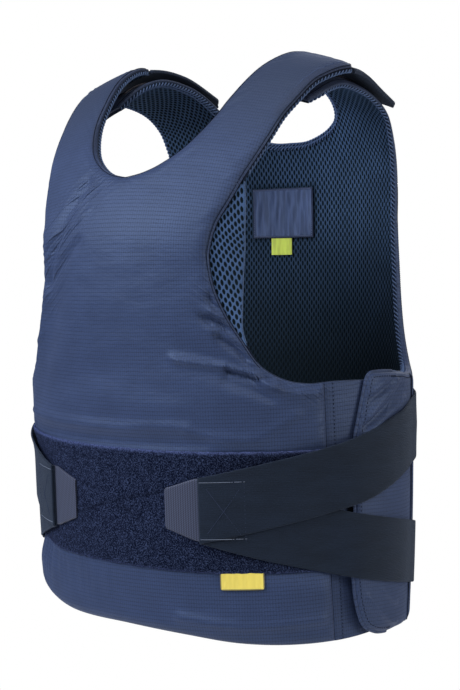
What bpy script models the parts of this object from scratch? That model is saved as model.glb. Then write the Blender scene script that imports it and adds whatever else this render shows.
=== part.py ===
"""Concealable body armour vest, modelled in metres as separate closed solids.

The vest is drawn as its maker cuts it. Each cloth piece is an outline on a flat pattern, where s runs
across the body from the centre line and v runs up the centre line from the hem. A pattern point is laid
on the form of the chest or of the back, and w is its distance outwards from that form.

The front faces -Y, the wearer's left is +X, +Z is up. The origin lies on the centre line, level with the
tops of the shoulder straps, where the wearer's shoulders carry the vest.
"""
import bpy
import numpy as np

# Thickness of each layer, and the running gap between layers that touch
LINING_THICK = 0.0030
CHEST_PAD_THICK = 0.0085
STRAP_PAD_THICK = 0.0045
WING_THICK = 0.0062
FLAP_THICK = 0.0028
SEAM_THICK = 0.0025
LOOP_THICK = 0.0018
SHOULDER_LOOP_THICK = 0.0012
ELASTIC_THICK = 0.0016
TAB_THICK = 0.0018
TONGUE_THICK = 0.0040
LABEL_THICK = 0.0010
LAYER_GAP = 0.0003
SKIN_GAP = 0.0006
LABEL_GAP = 0.0011
PILLOW_REACH = 0.014
WING_SEAM_LIFT = 0.004
FOLD_FREE_EDGE = 0.006
FOLD_FULL_INSIDE = 0.030

# Places on the pattern that several pieces share
SEAM_S = 0.197
FRONT_STRAP_END_V = 0.631
BACK_STRAP_END_V = 0.683
STRAP_THIN_FROM_V = 0.440
STRAP_THIN_TO_V = 0.540
BACK_PAD_S = 0.205
BACK_LINING_S = 0.195
BACK_SIDE_SEAM_TOP_V = 0.300
LOOP_TOP_V = 0.186
LOOP_BOTTOM_V = 0.073

# Small pieces on the pattern. Each range is from and to
LABEL_S = (-0.0500, 0.0255)
LABEL_V = (0.3850, 0.4345)
SIZE_TAG_S = (-0.0270, -0.0010)
SIZE_TAG_V = (0.3660, 0.3835)
FRONT_TAG_S = (0.100, 0.138)
FRONT_TAG_V = (0.0565, LOOP_BOTTOM_V - 0.0004)
SHOULDER_LOOP_S = (0.098, 0.130)
SHOULDER_LOOP_V = (0.560, 0.664)
TONGUE_S = (0.095, 0.161)
TONGUE_SLANT = 0.009
TONGUE_V = (FRONT_STRAP_END_V + LAYER_GAP, 0.738)
TONGUE_TIP_LENGTH = 0.012
TONGUE_TIP_INSET = 0.008

# The hook tab and the bands, by distance round the body
TAB_NOSE_S = 0.053
TAB_CORNER = 0.004
TAB_END_S = 0.124
TAB_NOSE_HALF = 0.0160
TAB_CORNER_HALF = 0.0195
TAB_HALF = 0.0285
BAND_FRONT_S = 0.090
BAND_HALF_WIDTH = 0.030
BAND_END_MARGIN = 0.020

# Centre path of the chest: from the hem up, over the shoulder and down behind it.
# Columns: y, z, half width of the section, its depth, its roundness
FRONT_FORM = [
    (-0.127, -0.560, 0.186, 0.132, 2.10),
    (-0.136, -0.470, 0.190, 0.138, 2.10),
    (-0.141, -0.380, 0.191, 0.138, 2.10),
    (-0.148, -0.300, 0.190, 0.138, 2.05),
    (-0.154, -0.230, 0.190, 0.136, 2.00),
    (-0.152, -0.179, 0.195, 0.128, 2.00),
    (-0.132, -0.128, 0.205, 0.116, 2.00),
    (-0.109, -0.088, 0.215, 0.105, 2.00),
    (-0.081, -0.051, 0.225, 0.101, 2.00),
    (-0.044, -0.017, 0.235, 0.109, 2.00),
    (-0.0085, -0.0014, 0.240, 0.114, 2.00),
    (0.020, 0.001, 0.240, 0.121, 2.00),
    (0.046, -0.004, 0.240, 0.125, 2.00),
    (0.076, -0.0155, 0.240, 0.128, 2.00),
    (0.107, -0.027, 0.240, 0.132, 2.00),
]
# Centre path of the back: from the hem up, over the shoulder and down in front of it. Same columns
BACK_FORM = [
    (0.120, -0.560, 0.188, 0.125, 2.50),
    (0.124, -0.470, 0.190, 0.128, 2.50),
    (0.1255, -0.380, 0.190, 0.128, 2.50),
    (0.1260, -0.300, 0.190, 0.125, 2.40),
    (0.1270, -0.230, 0.190, 0.122, 2.40),
    (0.1270, -0.180, 0.195, 0.118, 2.30),
    (0.1255, -0.128, 0.205, 0.112, 2.20),
    (0.1185, -0.078, 0.215, 0.110, 2.00),
    (0.1010, -0.044, 0.225, 0.120, 2.00),
    (0.0715, -0.0242, 0.235, 0.131, 2.00),
    (0.038, -0.0150, 0.240, 0.137, 2.00),
    (0.005, -0.0130, 0.240, 0.143, 2.00),
    (-0.030, -0.0255, 0.238, 0.152, 2.00),
    (-0.054, -0.0480, 0.230, 0.162, 2.00),
    (-0.074, -0.0710, 0.225, 0.165, 2.00),
]

# Hem of the front, which hangs a little lower on the wearer's left. Columns: s, v
FRONT_HEM = [(-0.240, 0.030), (-0.147, 0.024), (-0.080, 0.017), (0.000, 0.016),
             (0.065, 0.011), (0.110, 0.005), (0.200, 0.000), (0.240, 0.000)]

# Right half of the front's body, as upright lines from the hem to the line below the neck, then to the
# armhole. Columns: s at the hem, s at the top, v at the top
FRONT_BODY = [
    (0.000, 0.000, 0.4360), (0.020, 0.020, 0.4212), (0.041, 0.040, 0.4064), (0.062, 0.060, 0.3916),
    (0.083, 0.080, 0.3768), (0.104, 0.100, 0.3620), (0.118, 0.103, 0.3360), (0.132, 0.113, 0.3080),
    (0.146, 0.125, 0.2850), (0.159, 0.142, 0.2580), (0.173, 0.163, 0.2440), (0.187, 0.184, 0.2390),
    (SEAM_S, SEAM_S, 0.2390), (0.207, 0.207, 0.2390), (0.224, 0.224, 0.2380), (0.241, 0.241, 0.2360),
]
# Front strap, as lines across it from the neck's edge to the armhole's edge. The first line is the one
# below the neck. Columns: s and v at the neck's edge, s and v at the armhole's edge
FRONT_STRAP = [
    (0.000, 0.436, 0.100, 0.362), (0.018, 0.440, 0.105, 0.393), (0.034, 0.448, 0.113, 0.418),
    (0.051, 0.463, 0.120, 0.443), (0.063, 0.482, 0.127, 0.466), (0.072, 0.504, 0.133, 0.491),
    (0.077, 0.526, 0.137, 0.515), (0.082, 0.550, 0.143, 0.541), (0.087, 0.575, 0.148, 0.570),
    (0.092, 0.602, 0.156, 0.602), (0.095, FRONT_STRAP_END_V, 0.161, FRONT_STRAP_END_V),
]
# The first lines of each body end on their strap's first line. The last of those is this one
ROOF_LINES = 5
# How the mesh rolls out beyond the cloth at the armhole, and back from it, at each line up the armhole:
# first the body's lines, counted down from the one given here, then the strap's. Columns: width, depth
ROLL_LOW_LINE = 9
ARMHOLE_ROLL = [(0.000, 0.0000), (0.012, 0.0060), (0.024, 0.0125), (0.033, 0.0170),
                (0.035, 0.0180), (0.029, 0.0150), (0.016, 0.0085), (0.000, 0.0000)]
ROLL_PORTIONS = (0.0, 0.34, 0.67, 0.90, 1.00)
ROLL_CURL = 1.6

# Right half of the back's body with its wing, same columns as the front's plus v at the hem
BACK_BODY = [
    (0.0000, 0.004, 0.0000, 0.4820), (0.0286, 0.004, 0.0286, 0.4664), (0.0572, 0.004, 0.0572, 0.4508),
    (0.0860, 0.004, 0.0858, 0.4352), (0.1150, 0.005, 0.1144, 0.4196), (0.1450, 0.005, 0.1430, 0.4040),
    (0.1560, 0.006, 0.1480, 0.3600), (0.1670, 0.006, 0.1540, 0.3170), (0.1790, 0.007, 0.1640, 0.2830),
    (0.1920, 0.007, 0.1790, 0.2600), (BACK_PAD_S, 0.007, 0.1970, 0.2510), (0.2200, 0.007, 0.2150, 0.2490),
    (0.2380, 0.007, 0.2350, 0.2510), (0.2580, 0.006, 0.2560, 0.2520), (0.2760, 0.009, 0.2770, 0.2510),
    (0.2940, 0.030, 0.2950, 0.2430), (0.3070, 0.060, 0.3080, 0.2180), (0.3120, 0.085, 0.3130, 0.1900),
]
BACK_STRAP = [
    (0.000, 0.482, 0.143, 0.404), (0.022, 0.483, 0.143, 0.437), (0.044, 0.490, 0.144, 0.466),
    (0.060, 0.499, 0.146, 0.491), (0.070, 0.510, 0.147, 0.510), (0.075, 0.530, 0.147, 0.530),
    (0.077, 0.553, 0.146, 0.553), (0.078, 0.577, 0.145, 0.577), (0.079, 0.602, 0.144, 0.602),
    (0.081, 0.627, 0.143, 0.627), (0.084, 0.648, 0.142, 0.648), (0.089, 0.667, 0.139, 0.667),
    (0.099, BACK_STRAP_END_V, 0.131, BACK_STRAP_END_V),
]
# Where the wing's inner side lies: it passes over the front's flap and then curls in. Columns: s, w
WING_PATH = [(0.000, 0.0033), (0.190, 0.0033), (0.210, 0.0040), (0.230, 0.0058), (0.252, 0.0080),
             (0.275, 0.0080), (0.294, 0.0046), (0.313, 0.0000)]

# Portions of each upright line at which the body is divided, close together at its pillowed edges
BODY_PORTIONS = (0.0, 0.03, 0.09, 0.18, 0.28, 0.38, 0.48, 0.58, 0.68, 0.79, 0.90, 0.965, 1.0)
STRAP_PORTIONS = (0.0, 0.2, 0.4, 0.6, 0.8, 1.0)

# Soft folds of the front cloth. Columns: s and v of the middle, turn in degrees from level, half
# length, half width, height of the ridge or depth of the dip
FRONT_FOLDS = [
    (0.125, 0.235, -12.0, 0.060, 0.014, 0.0018),
    (0.110, 0.262, -25.0, 0.045, 0.013, -0.0020),
    (0.060, 0.222, -4.0, 0.090, 0.014, 0.0015),
    (-0.085, 0.300, 62.0, 0.070, 0.016, -0.0022),
    (-0.105, 0.350, 70.0, 0.055, 0.015, 0.0018),
    (-0.060, 0.245, 15.0, 0.060, 0.014, -0.0014),
    (0.120, 0.028, 4.0, 0.070, 0.012, 0.0014),
]

# Centre lines of the two elastic bands of one side. Columns: distance round the body, z
UPPER_BAND = [(BAND_FRONT_S, -0.4300), (0.160, -0.4135), (0.225, -0.3970), (0.310, -0.3710),
              (0.360, -0.3600), (0.420, -0.3530), (0.480, -0.3510)]
LOWER_BAND = [(BAND_FRONT_S, -0.4310), (0.140, -0.4440), (0.200, -0.4570), (0.305, -0.4765),
              (0.360, -0.4850), (0.420, -0.4900), (0.480, -0.4920)]
BAND_COLUMNS = 26
# How far each band stands off the layers below it along its way. Columns: distance round the body, w
LOWER_BAND_LIFT = [(0.090, 0.0028), (0.132, 0.0028), (0.160, 0.0006), (0.480, 0.0006)]
UPPER_BAND_LIFT = [(0.090, 0.0049), (0.132, 0.0049), (0.160, 0.0027), (0.235, 0.0027),
                   (0.290, 0.0006), (0.480, 0.0006)]

NAVY = (0.052, 0.075, 0.150)
MESH_NAVY = (0.040, 0.065, 0.140)
DARK_NAVY = (0.012, 0.014, 0.035)
BLACK_NAVY = (0.010, 0.012, 0.022)
TAB_GREY = (0.070, 0.075, 0.110)
LABEL_NAVY = (0.045, 0.060, 0.120)
TAG_GREEN = (0.520, 0.620, 0.060)
TAG_YELLOW = (0.850, 0.720, 0.080)


def smooth_through(stations, values, query):
    """Read a smooth curve through the given values, with each slope taken from its two neighbours."""
    x = np.asarray(stations, float)
    y = np.asarray(values, float)
    q = np.clip(query, x[0], x[-1])
    step = np.diff(x)
    rise = np.diff(y) / step
    slope = np.empty(len(x))
    slope[1:-1] = (rise[:-1] * step[1:] + rise[1:] * step[:-1]) / (step[:-1] + step[1:])
    slope[0] = 1.5 * rise[0] - 0.5 * slope[1]
    slope[-1] = 1.5 * rise[-1] - 0.5 * slope[-2]
    i = np.clip(np.searchsorted(x, q, side="right") - 1, 0, len(x) - 2)
    t = (q - x[i]) / step[i]
    start = (1 + 2 * t) * (1 - t) ** 2 * y[i] + t * (1 - t) ** 2 * step[i] * slope[i]
    end = t * t * (3 - 2 * t) * y[i + 1] + t * t * (t - 1) * step[i] * slope[i + 1]
    return start + end


def ease(value, low, high):
    """Rise smoothly from 0 at low to 1 at high."""
    t = np.clip((np.asarray(value, float) - low) / (high - low), 0.0, 1.0)
    return t * t * (3.0 - 2.0 * t)


class Form:
    """The body surface that one half of the vest lies on, read from a table of sections.

    Each section is a quarter of a rounded box, mirrored about the centre line. Past the quarter the
    surface runs straight on, which carries the wings forwards round the wearer's sides.
    """

    V_STEPS = 220
    S_STEPS = 281
    S_REACH = 0.34

    def __init__(self, rows, faces_front):
        table = np.array(rows)
        path = table[:, :2]
        chord = np.append(0.0, np.cumsum(np.linalg.norm(np.diff(path, axis=0), axis=1)))
        fine = np.linspace(0.0, chord[-1], 2000)
        line = np.stack([smooth_through(chord, path[:, k], fine) for k in (0, 1)], axis=1)
        length = np.append(0.0, np.cumsum(np.linalg.norm(np.diff(line, axis=0), axis=1)))
        self.v = np.linspace(0.0, length[-1], self.V_STEPS)
        at = np.interp(self.v, length, fine)
        y, z, half, depth, power = (smooth_through(chord, table[:, k], at) for k in range(5))
        ty, tz = np.gradient(y, self.v), np.gradient(z, self.v)
        size = np.hypot(ty, tz)
        turn = -1.0 if faces_front else 1.0
        ny, nz = turn * tz / size, -turn * ty / size
        self.s = np.linspace(-self.S_REACH, self.S_REACH, self.S_STEPS)
        self.points = np.stack([self._section(*row) for row in zip(y, z, half, depth, power, ny, nz)])
        across = np.gradient(self.points, self.s, axis=1)
        along = np.gradient(self.points, self.v, axis=0)
        normal = np.cross(across, along) * (1.0 if faces_front else -1.0)
        self.normals = normal / np.linalg.norm(normal, axis=-1, keepdims=True)
        top = int(np.argmax(self.points[:, self.S_STEPS // 2, 2]))
        self.rise = (self.points[:top + 1, self.S_STEPS // 2, 2], self.v[:top + 1])

    def _section(self, y, z, half, depth, power, ny, nz):
        """One section: across the body and inwards from the centre path, measured along its own arc."""
        angle = np.linspace(0.0, np.pi / 2, 300)
        across = half * np.sin(angle) ** (2.0 / power)
        inwards = depth * (1.0 - np.cos(angle) ** (2.0 / power))
        arc = np.append(0.0, np.cumsum(np.hypot(np.diff(across), np.diff(inwards))))
        reach = np.abs(self.s)
        x = np.interp(reach, arc, across) * np.sign(self.s)
        drop = np.interp(reach, arc, inwards) + np.maximum(reach - arc[-1], 0.0)
        return np.stack([x, y - ny * drop, z - nz * drop], axis=1)

    def place(self, s, v, w):
        """Lay pattern points on the form, each at its own distance w outwards."""
        s, v, w = np.broadcast_arrays(np.asarray(s, float), np.asarray(v, float), np.asarray(w, float))
        row = (v - self.v[0]) / (self.v[1] - self.v[0])
        column = np.clip((s - self.s[0]) / (self.s[1] - self.s[0]), 0.0, len(self.s) - 1.001)
        i = np.clip(np.floor(row), 0, len(self.v) - 2).astype(int)
        j = column.astype(int)
        a, b = (row - i)[..., None], (column - j)[..., None]
        corners = ((i, j, (1 - a) * (1 - b)), (i + 1, j, a * (1 - b)),
                   (i, j + 1, (1 - a) * b), (i + 1, j + 1, a * b))
        point = sum(self.points[p, q] * share for p, q, share in corners)
        normal = sum(self.normals[p, q] * share for p, q, share in corners)
        normal /= np.linalg.norm(normal, axis=-1, keepdims=True)
        return point + normal * w[..., None]

    def v_at_height(self, z):
        """Distance up the centre path at which it first reaches a height."""
        return np.interp(z, *self.rise)


class Sheet:
    """A flat pattern piece: its points and the triangles between them."""

    def __init__(self, grids):
        """Join grids of pattern points. Points that fall together become one."""
        self.points = []
        self.triangles = []
        known = {}
        for grid in grids:
            index = np.empty(grid.shape[:2], int)
            for place in np.ndindex(index.shape):
                key = tuple(np.round(grid[place], 5))
                if key not in known:
                    known[key] = len(self.points)
                    self.points.append(grid[place])
                index[place] = known[key]
            for i in range(index.shape[0] - 1):
                for j in range(index.shape[1] - 1):
                    a, b, c, d = index[i, j], index[i, j + 1], index[i + 1, j + 1], index[i + 1, j]
                    self._add(a, b, c)
                    self._add(a, c, d)
        self.points = np.array(self.points)

    def _add(self, a, b, c):
        if len({a, b, c}) == 3:
            self.triangles.append((a, b, c))

    def open_edges(self):
        """Edges that only one triangle uses, each in that triangle's own order."""
        edges = {(t[k], t[(k + 1) % 3]) for t in self.triangles for k in range(3)}
        return [edge for edge in edges if (edge[1], edge[0]) not in edges]


def material(name, colour, roughness):
    """A plain finish: colour and roughness."""
    made = bpy.data.materials.new(name)
    made.use_nodes = True
    shader = made.node_tree.nodes["Principled BSDF"]
    shader.inputs["Base Color"].default_value = (*colour, 1.0)
    shader.inputs["Roughness"].default_value = roughness
    shader.inputs["Metallic"].default_value = 0.0
    made.diffuse_color = (*colour, 1.0)
    return made


def solid(name, sheet, inner, outer, finish):
    """Close a sheet into a solid: its inner side, its outer side and a wall round its open edges."""
    count = len(sheet.points)
    faces = [tuple(reversed(t)) for t in sheet.triangles]
    faces += [tuple(k + count for k in t) for t in sheet.triangles]
    for a, b in sorted(sheet.open_edges()):
        faces.append((a, b, b + count))
        faces.append((a, b + count, a + count))
    points = np.concatenate([inner, outer])
    corner = np.array([[points[k] for k in face] for face in faces])
    volume = np.einsum("ij,ij->i", corner[:, 0], np.cross(corner[:, 1], corner[:, 2])).sum()
    if volume < 0:
        faces = [tuple(reversed(face)) for face in faces]
    mesh = bpy.data.meshes.new(name)
    mesh.from_pydata(points.tolist(), [], faces)
    mesh.update()
    mesh.shade_smooth()
    mesh.set_sharp_from_angle(angle=np.radians(50))
    mesh.materials.append(finish)
    made = bpy.data.objects.new(name, mesh)
    bpy.context.scene.collection.objects.link(made)
    return made


def mirrored(columns):
    """Put the lines of the right half on the left as well, in order from left to right."""
    left = columns[:0:-1] * np.array([-1.0, 1.0])
    return np.concatenate([left, columns])


def ruled(start, end, portions):
    """A grid of points on straight lines from each start point to its end point."""
    share = np.asarray(portions)[None, :, None]
    return start[:, None] * (1.0 - share) + end[:, None] * share


def hem_v(s):
    """Height of the front's hem on the pattern."""
    return smooth_through(*np.array(FRONT_HEM).T, s)


def front_body():
    """Grid of the front below the neck, from the left flap to the right flap."""
    rows = np.array(FRONT_BODY)
    top = mirrored(rows[:, 1:3])
    bottom = mirrored(rows[:, [0, 2]])
    bottom[:, 1] = hem_v(bottom[:, 0])
    return ruled(bottom, top, BODY_PORTIONS)


def back_body():
    """Grid of the back below the neck, from wing to wing."""
    rows = np.array(BACK_BODY)
    return ruled(mirrored(rows[:, 0:2]), mirrored(rows[:, 2:4]), BODY_PORTIONS)


def strap(rows, side):
    """Grid of one shoulder strap, with its lines ordered so that both straps face the body's way."""
    table = np.array(rows)
    grid = ruled(table[:, 0:2], table[:, 2:4], STRAP_PORTIONS)
    grid[..., 0] *= side
    return grid[:, ::-1] if side > 0 else grid


def outline(low, high, strap_rows):
    """Outline of one half: hem, side, armhole, strap end and neck, as one line of points."""
    rows = np.array(strap_rows)
    return np.concatenate([low, high[:ROOF_LINES - 1:-1], rows[:, 2:4], rows[::-1, 0:2]])


def distance_inside(points, line):
    """Distance from each point of the right half to the line."""
    start, step = line[:-1], np.diff(line, axis=0)
    away = points[:, None] - start[None]
    share = np.clip((away * step).sum(-1) / np.maximum((step * step).sum(-1), 1e-12), 0.0, 1.0)
    return np.linalg.norm(away - share[..., None] * step, axis=-1).min(axis=1)


def pillow(distance, edge, full):
    """Thickness that rises in a quarter round from a seamed edge to the full pad."""
    t = np.clip(distance / PILLOW_REACH, 0.0, 1.0)
    return edge + (full - edge) * np.sqrt(1.0 - (1.0 - t) ** 2)


def strap_thinning(v):
    """Full thickness of a pad, which is thinner over the shoulder."""
    share = ease(v, STRAP_THIN_FROM_V, STRAP_THIN_TO_V)
    return CHEST_PAD_THICK * (1.0 - share) + STRAP_PAD_THICK * share


def folds(points):
    """Height that the soft folds add to the cloth at each pattern point."""
    total = np.zeros(len(points))
    for s, v, turn, half_length, half_width, height in FRONT_FOLDS:
        angle = np.radians(turn)
        ds, dv = points[:, 0] - s, points[:, 1] - v
        along = (ds * np.cos(angle) + dv * np.sin(angle)) / half_length
        across = (dv * np.cos(angle) - ds * np.sin(angle)) / half_width
        total += height * np.exp(-along ** 2 - across ** 2)
    return total


def right_half(points):
    """The same pattern points, those of the left half carried over to the right."""
    return np.stack([np.abs(points[:, 0]), points[:, 1]], axis=1)


def front_pad_outline():
    """Outline of the front's padded part, which ends at the seam of the flap."""
    rows = np.array([row for row in FRONT_BODY if row[0] <= SEAM_S])
    low = np.stack([rows[:, 0], hem_v(rows[:, 0])], axis=1)
    return outline(low, rows[:, 1:3], FRONT_STRAP)


def front_outer(points):
    """Outer side of the front: the pad, its seam, and the thin flap beyond the seam."""
    half = right_half(points)
    depth_in = distance_inside(half, front_pad_outline())
    inside = half[:, 0] <= SEAM_S + 1e-6
    pad = pillow(depth_in, SEAM_THICK, strap_thinning(points[:, 1]))
    thick = np.where(inside, pad, FLAP_THICK)
    shaped = ease(depth_in, FOLD_FREE_EDGE, FOLD_FULL_INSIDE) * inside
    return LINING_THICK + LAYER_GAP + thick + folds(points) * shaped


def wing_inner(s):
    """Distance outwards of the back cloth's inner side."""
    return np.interp(np.abs(s), *np.array(WING_PATH).T)


def back_outer(points):
    """Outer side of the back: the pad, the seam at its side, and the softer wing beyond."""
    half = right_half(points)
    rows = np.array(BACK_BODY)
    edge_in = distance_inside(half, outline(rows[:, 0:2], rows[:, 2:4], BACK_STRAP))
    seam_in = np.abs(half[:, 0] - BACK_PAD_S) + WING_SEAM_LIFT
    below_armhole = half[:, 1] < BACK_SIDE_SEAM_TOP_V
    depth_in = np.where(below_armhole, np.minimum(edge_in, seam_in), edge_in)
    full = np.where(half[:, 0] <= BACK_PAD_S, strap_thinning(points[:, 1]), WING_THICK)
    return wing_inner(points[:, 0]) + pillow(depth_in, SEAM_THICK, full)


def armhole_roll(side):
    """Pattern grid of the mesh that rolls out of one armhole, and each point's depth back."""
    body_edge = np.array(FRONT_BODY)[ROLL_LOW_LINE:ROOF_LINES:-1, 1:3]
    strap_edge = np.array(FRONT_STRAP)[:len(ARMHOLE_ROLL) - len(body_edge), 2:4]
    start = np.concatenate([body_edge, strap_edge])
    width, depth = np.array(ARMHOLE_ROLL).T
    grid = ruled(start, start + np.stack([width, np.zeros(len(width))], axis=1), ROLL_PORTIONS)
    grid[..., 0] *= side
    return grid, depth[:, None] * np.array(ROLL_PORTIONS) ** ROLL_CURL


def middle_lines(grid, rows, limit):
    """The part of a body grid whose lines start no further out than a limit."""
    kept = sum(row[0] <= limit for row in rows)
    middle = len(rows) - 1
    return grid[middle - kept + 1:middle + kept]


def add_front(form, finish, mesh_finish):
    """The front panel, and under it the mesh lining, which rolls out of each armhole."""
    body = front_body()
    straps = [strap(FRONT_STRAP, side) for side in (1, -1)]
    cloth = Sheet([body, *straps])
    s, v = cloth.points.T
    inner = form.place(s, v, LINING_THICK + LAYER_GAP)
    solid("front_panel", cloth, inner, form.place(s, v, front_outer(cloth.points)), finish)

    rolls, depth = [], {}
    for side in (1, -1):
        grid, back = armhole_roll(side)
        for place in np.ndindex(back.shape):
            depth[tuple(np.round(grid[place], 5))] = back[place]
        rolls.append(grid if side < 0 else grid[:, ::-1])
    lining = Sheet([middle_lines(body, FRONT_BODY, SEAM_S), *straps, *rolls])
    s, v = lining.points.T
    behind = np.array([depth.get(tuple(np.round(point, 5)), 0.0) for point in lining.points])
    inner = form.place(s, v, -behind)
    solid("front_lining", lining, inner, form.place(s, v, LINING_THICK - behind), mesh_finish)


def add_back(form, finish, mesh_finish):
    """The back panel with its wings and straps, and under its pad the mesh lining."""
    body = back_body()
    straps = [strap(BACK_STRAP, side) for side in (1, -1)]
    cloth = Sheet([body, *straps])
    s, v = cloth.points.T
    inner = form.place(s, v, wing_inner(s))
    solid("back_panel", cloth, inner, form.place(s, v, back_outer(cloth.points)), finish)
    lining = Sheet([middle_lines(body, BACK_BODY, BACK_LINING_S), *straps])
    s, v = lining.points.T
    solid("back_lining", lining, form.place(s, v, 0.0), form.place(s, v, LINING_THICK), mesh_finish)


def patch(corners_low, corners_high, portions):
    """A small sheet between a lower and an upper line of pattern points."""
    return Sheet([ruled(np.array(corners_low), np.array(corners_high), portions)])


def rectangle(s_range, v_range, columns, rows):
    """A sheet between two upright and two level sides."""
    s = np.linspace(*s_range, columns)
    low = np.stack([s, np.full(columns, v_range[0])], axis=1)
    high = np.stack([s, np.full(columns, v_range[1])], axis=1)
    return patch(low, high, np.linspace(0.0, 1.0, rows))


def lay_on_front(name, form, sheet, thick, finish):
    """A layer that follows the front's outer side."""
    s, v = sheet.points.T
    base = front_outer(sheet.points) + SKIN_GAP
    solid(name, sheet, form.place(s, v, base), form.place(s, v, base + thick), finish)


class Girth:
    """The way a taut band takes round one side: along the front pad, straight over to the wing and on
    round the back. A place on it is a distance round the body and a height."""

    HEIGHTS = np.linspace(-0.540, -0.300, 13)
    FRONT_STATIONS = np.linspace(0.050, 0.190, 9)
    BACK_STATIONS = np.append(np.linspace(0.300, 0.200, 7), np.linspace(0.180, 0.060, 6))

    def __init__(self, front, back):
        self.around = np.linspace(0.050, 0.480, 130)
        rows = [self._ring(front, back, z) for z in self.HEIGHTS]
        self.points = np.stack(rows)
        tangent = np.gradient(self.points, axis=1)
        self.normals = np.stack([tangent[..., 1], -tangent[..., 0], np.zeros(tangent.shape[:2])], axis=-1)
        self.normals /= np.linalg.norm(self.normals, axis=-1, keepdims=True)

    def _ring(self, front, back, z):
        """Points round the body at one height, evenly spaced along the way."""
        on_front = np.stack([self.FRONT_STATIONS, np.full(len(self.FRONT_STATIONS), front.v_at_height(z))], 1)
        on_back = np.stack([self.BACK_STATIONS, np.full(len(self.BACK_STATIONS), back.v_at_height(z))], 1)
        lift = front_outer(on_front) + SKIN_GAP + LOOP_THICK
        on_wing = back_outer(on_back) + SKIN_GAP
        way = np.concatenate([front.place(*on_front.T, lift), back.place(*on_back.T, on_wing)])
        chord = np.append(0.0, np.cumsum(np.linalg.norm(np.diff(way[:, :2], axis=0), axis=1)))
        fine = np.linspace(0.0, chord[-1], 1200)
        line = np.stack([smooth_through(chord, way[:, k], fine) for k in (0, 1)], axis=1)
        arc = np.append(0.0, np.cumsum(np.linalg.norm(np.diff(line, axis=0), axis=1)))
        at = self.around - self.around[0]
        return np.stack([np.interp(at, arc, line[:, 0]), np.interp(at, arc, line[:, 1]),
                         np.full(len(at), z)], axis=1)

    def place(self, around, z, w, side):
        """Points at a distance round the body, a height, and w outwards, on one side of the body."""
        column = (around - self.around[0]) / (self.around[1] - self.around[0])
        row = (z - self.HEIGHTS[0]) / (self.HEIGHTS[1] - self.HEIGHTS[0])
        j = np.clip(column, 0, len(self.around) - 2).astype(int)
        i = np.clip(row, 0, len(self.HEIGHTS) - 2).astype(int)
        a, b = (row - i)[..., None], (column - j)[..., None]
        corners = ((i, j, (1 - a) * (1 - b)), (i + 1, j, a * (1 - b)),
                   (i, j + 1, (1 - a) * b), (i + 1, j + 1, a * b))
        point = sum(self.points[p, q] * share for p, q, share in corners)
        normal = sum(self.normals[p, q] * share for p, q, share in corners)
        return (point + normal * np.asarray(w)[..., None]) * [side, 1.0, 1.0]


def add_band(name, girth, side, centre, lift, finish):
    """One elastic band, from its sewn end on the front tab to its sewn end on the back."""
    around = np.linspace(BAND_FRONT_S, centre[-1][0] - BAND_END_MARGIN, BAND_COLUMNS)
    middle = smooth_through(*np.array(centre).T, around)
    low = np.stack([around, middle - BAND_HALF_WIDTH], axis=1)
    high = np.stack([around, middle + BAND_HALF_WIDTH], axis=1)
    sheet = patch(low, high, (0.0, 0.5, 1.0))
    q, z = sheet.points.T
    base = np.interp(q, *np.array(lift).T)
    inner = girth.place(q, z, base, side)
    solid(name, sheet, inner, girth.place(q, z, base + ELASTIC_THICK, side), finish)


def add_tab(name, girth, side, finish):
    """The hook tab under the bands' front end: a straight nose with clipped corners, then full width."""
    half_heights = [(TAB_NOSE_S, TAB_NOSE_HALF), (TAB_NOSE_S + TAB_CORNER, TAB_CORNER_HALF),
                    (BAND_FRONT_S - TAB_CORNER, TAB_HALF), (TAB_END_S, TAB_HALF)]
    q = np.array([TAB_NOSE_S, *np.linspace(TAB_NOSE_S + TAB_CORNER, TAB_END_S, 7)])
    half = np.interp(q, *np.array(half_heights).T)
    middle = UPPER_BAND[0][1]
    sheet = patch(np.stack([q, middle - half], 1), np.stack([q, middle + half], 1), (0.0, 0.5, 1.0))
    q, z = sheet.points.T
    base = np.full(len(q), SKIN_GAP)
    solid(name, sheet, girth.place(q, z, base, side), girth.place(q, z, base + TAB_THICK, side), finish)


def add_tongue(name, form, side, finish):
    """The stiff tongue that runs on from a front strap's end and down over the back strap.

    It slants towards the neck on its way, and its tip is narrower.
    """
    v = np.linspace(*TONGUE_V, 9)
    inset = TONGUE_TIP_INSET * ease(v, TONGUE_V[1] - TONGUE_TIP_LENGTH, TONGUE_V[1])
    slant = TONGUE_SLANT * (v - TONGUE_V[0]) / (TONGUE_V[1] - TONGUE_V[0])
    low = np.stack([TONGUE_S[0] - slant + inset, v], axis=1)
    high = np.stack([TONGUE_S[1] - slant - inset, v], axis=1)
    sheet = patch(low, high, (0.0, 0.5, 1.0))
    s, v = sheet.points.T
    solid(name, sheet, form.place(s * side, v, 0.0), form.place(s * side, v, TONGUE_THICK), finish)


def add_shoulder_loop(name, form, side, finish):
    """The strip of loops on top of a back strap, which the tongue fastens to."""
    sheet = rectangle(SHOULDER_LOOP_S, SHOULDER_LOOP_V, 3, 10)
    base = back_outer(sheet.points) + SKIN_GAP
    s, v = sheet.points.T
    top = form.place(s * side, v, base + SHOULDER_LOOP_THICK)
    solid(name, sheet, form.place(s * side, v, base), top, finish)


def add_inside_label(name, form, s_range, v_range, finish):
    """A label sewn to the inner side of the back's lining."""
    sheet = rectangle(s_range, v_range, 4, 3)
    s, v = sheet.points.T
    inner = form.place(s, v, -LABEL_GAP - LABEL_THICK)
    solid(name, sheet, inner, form.place(s, v, -LABEL_GAP), finish)


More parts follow.
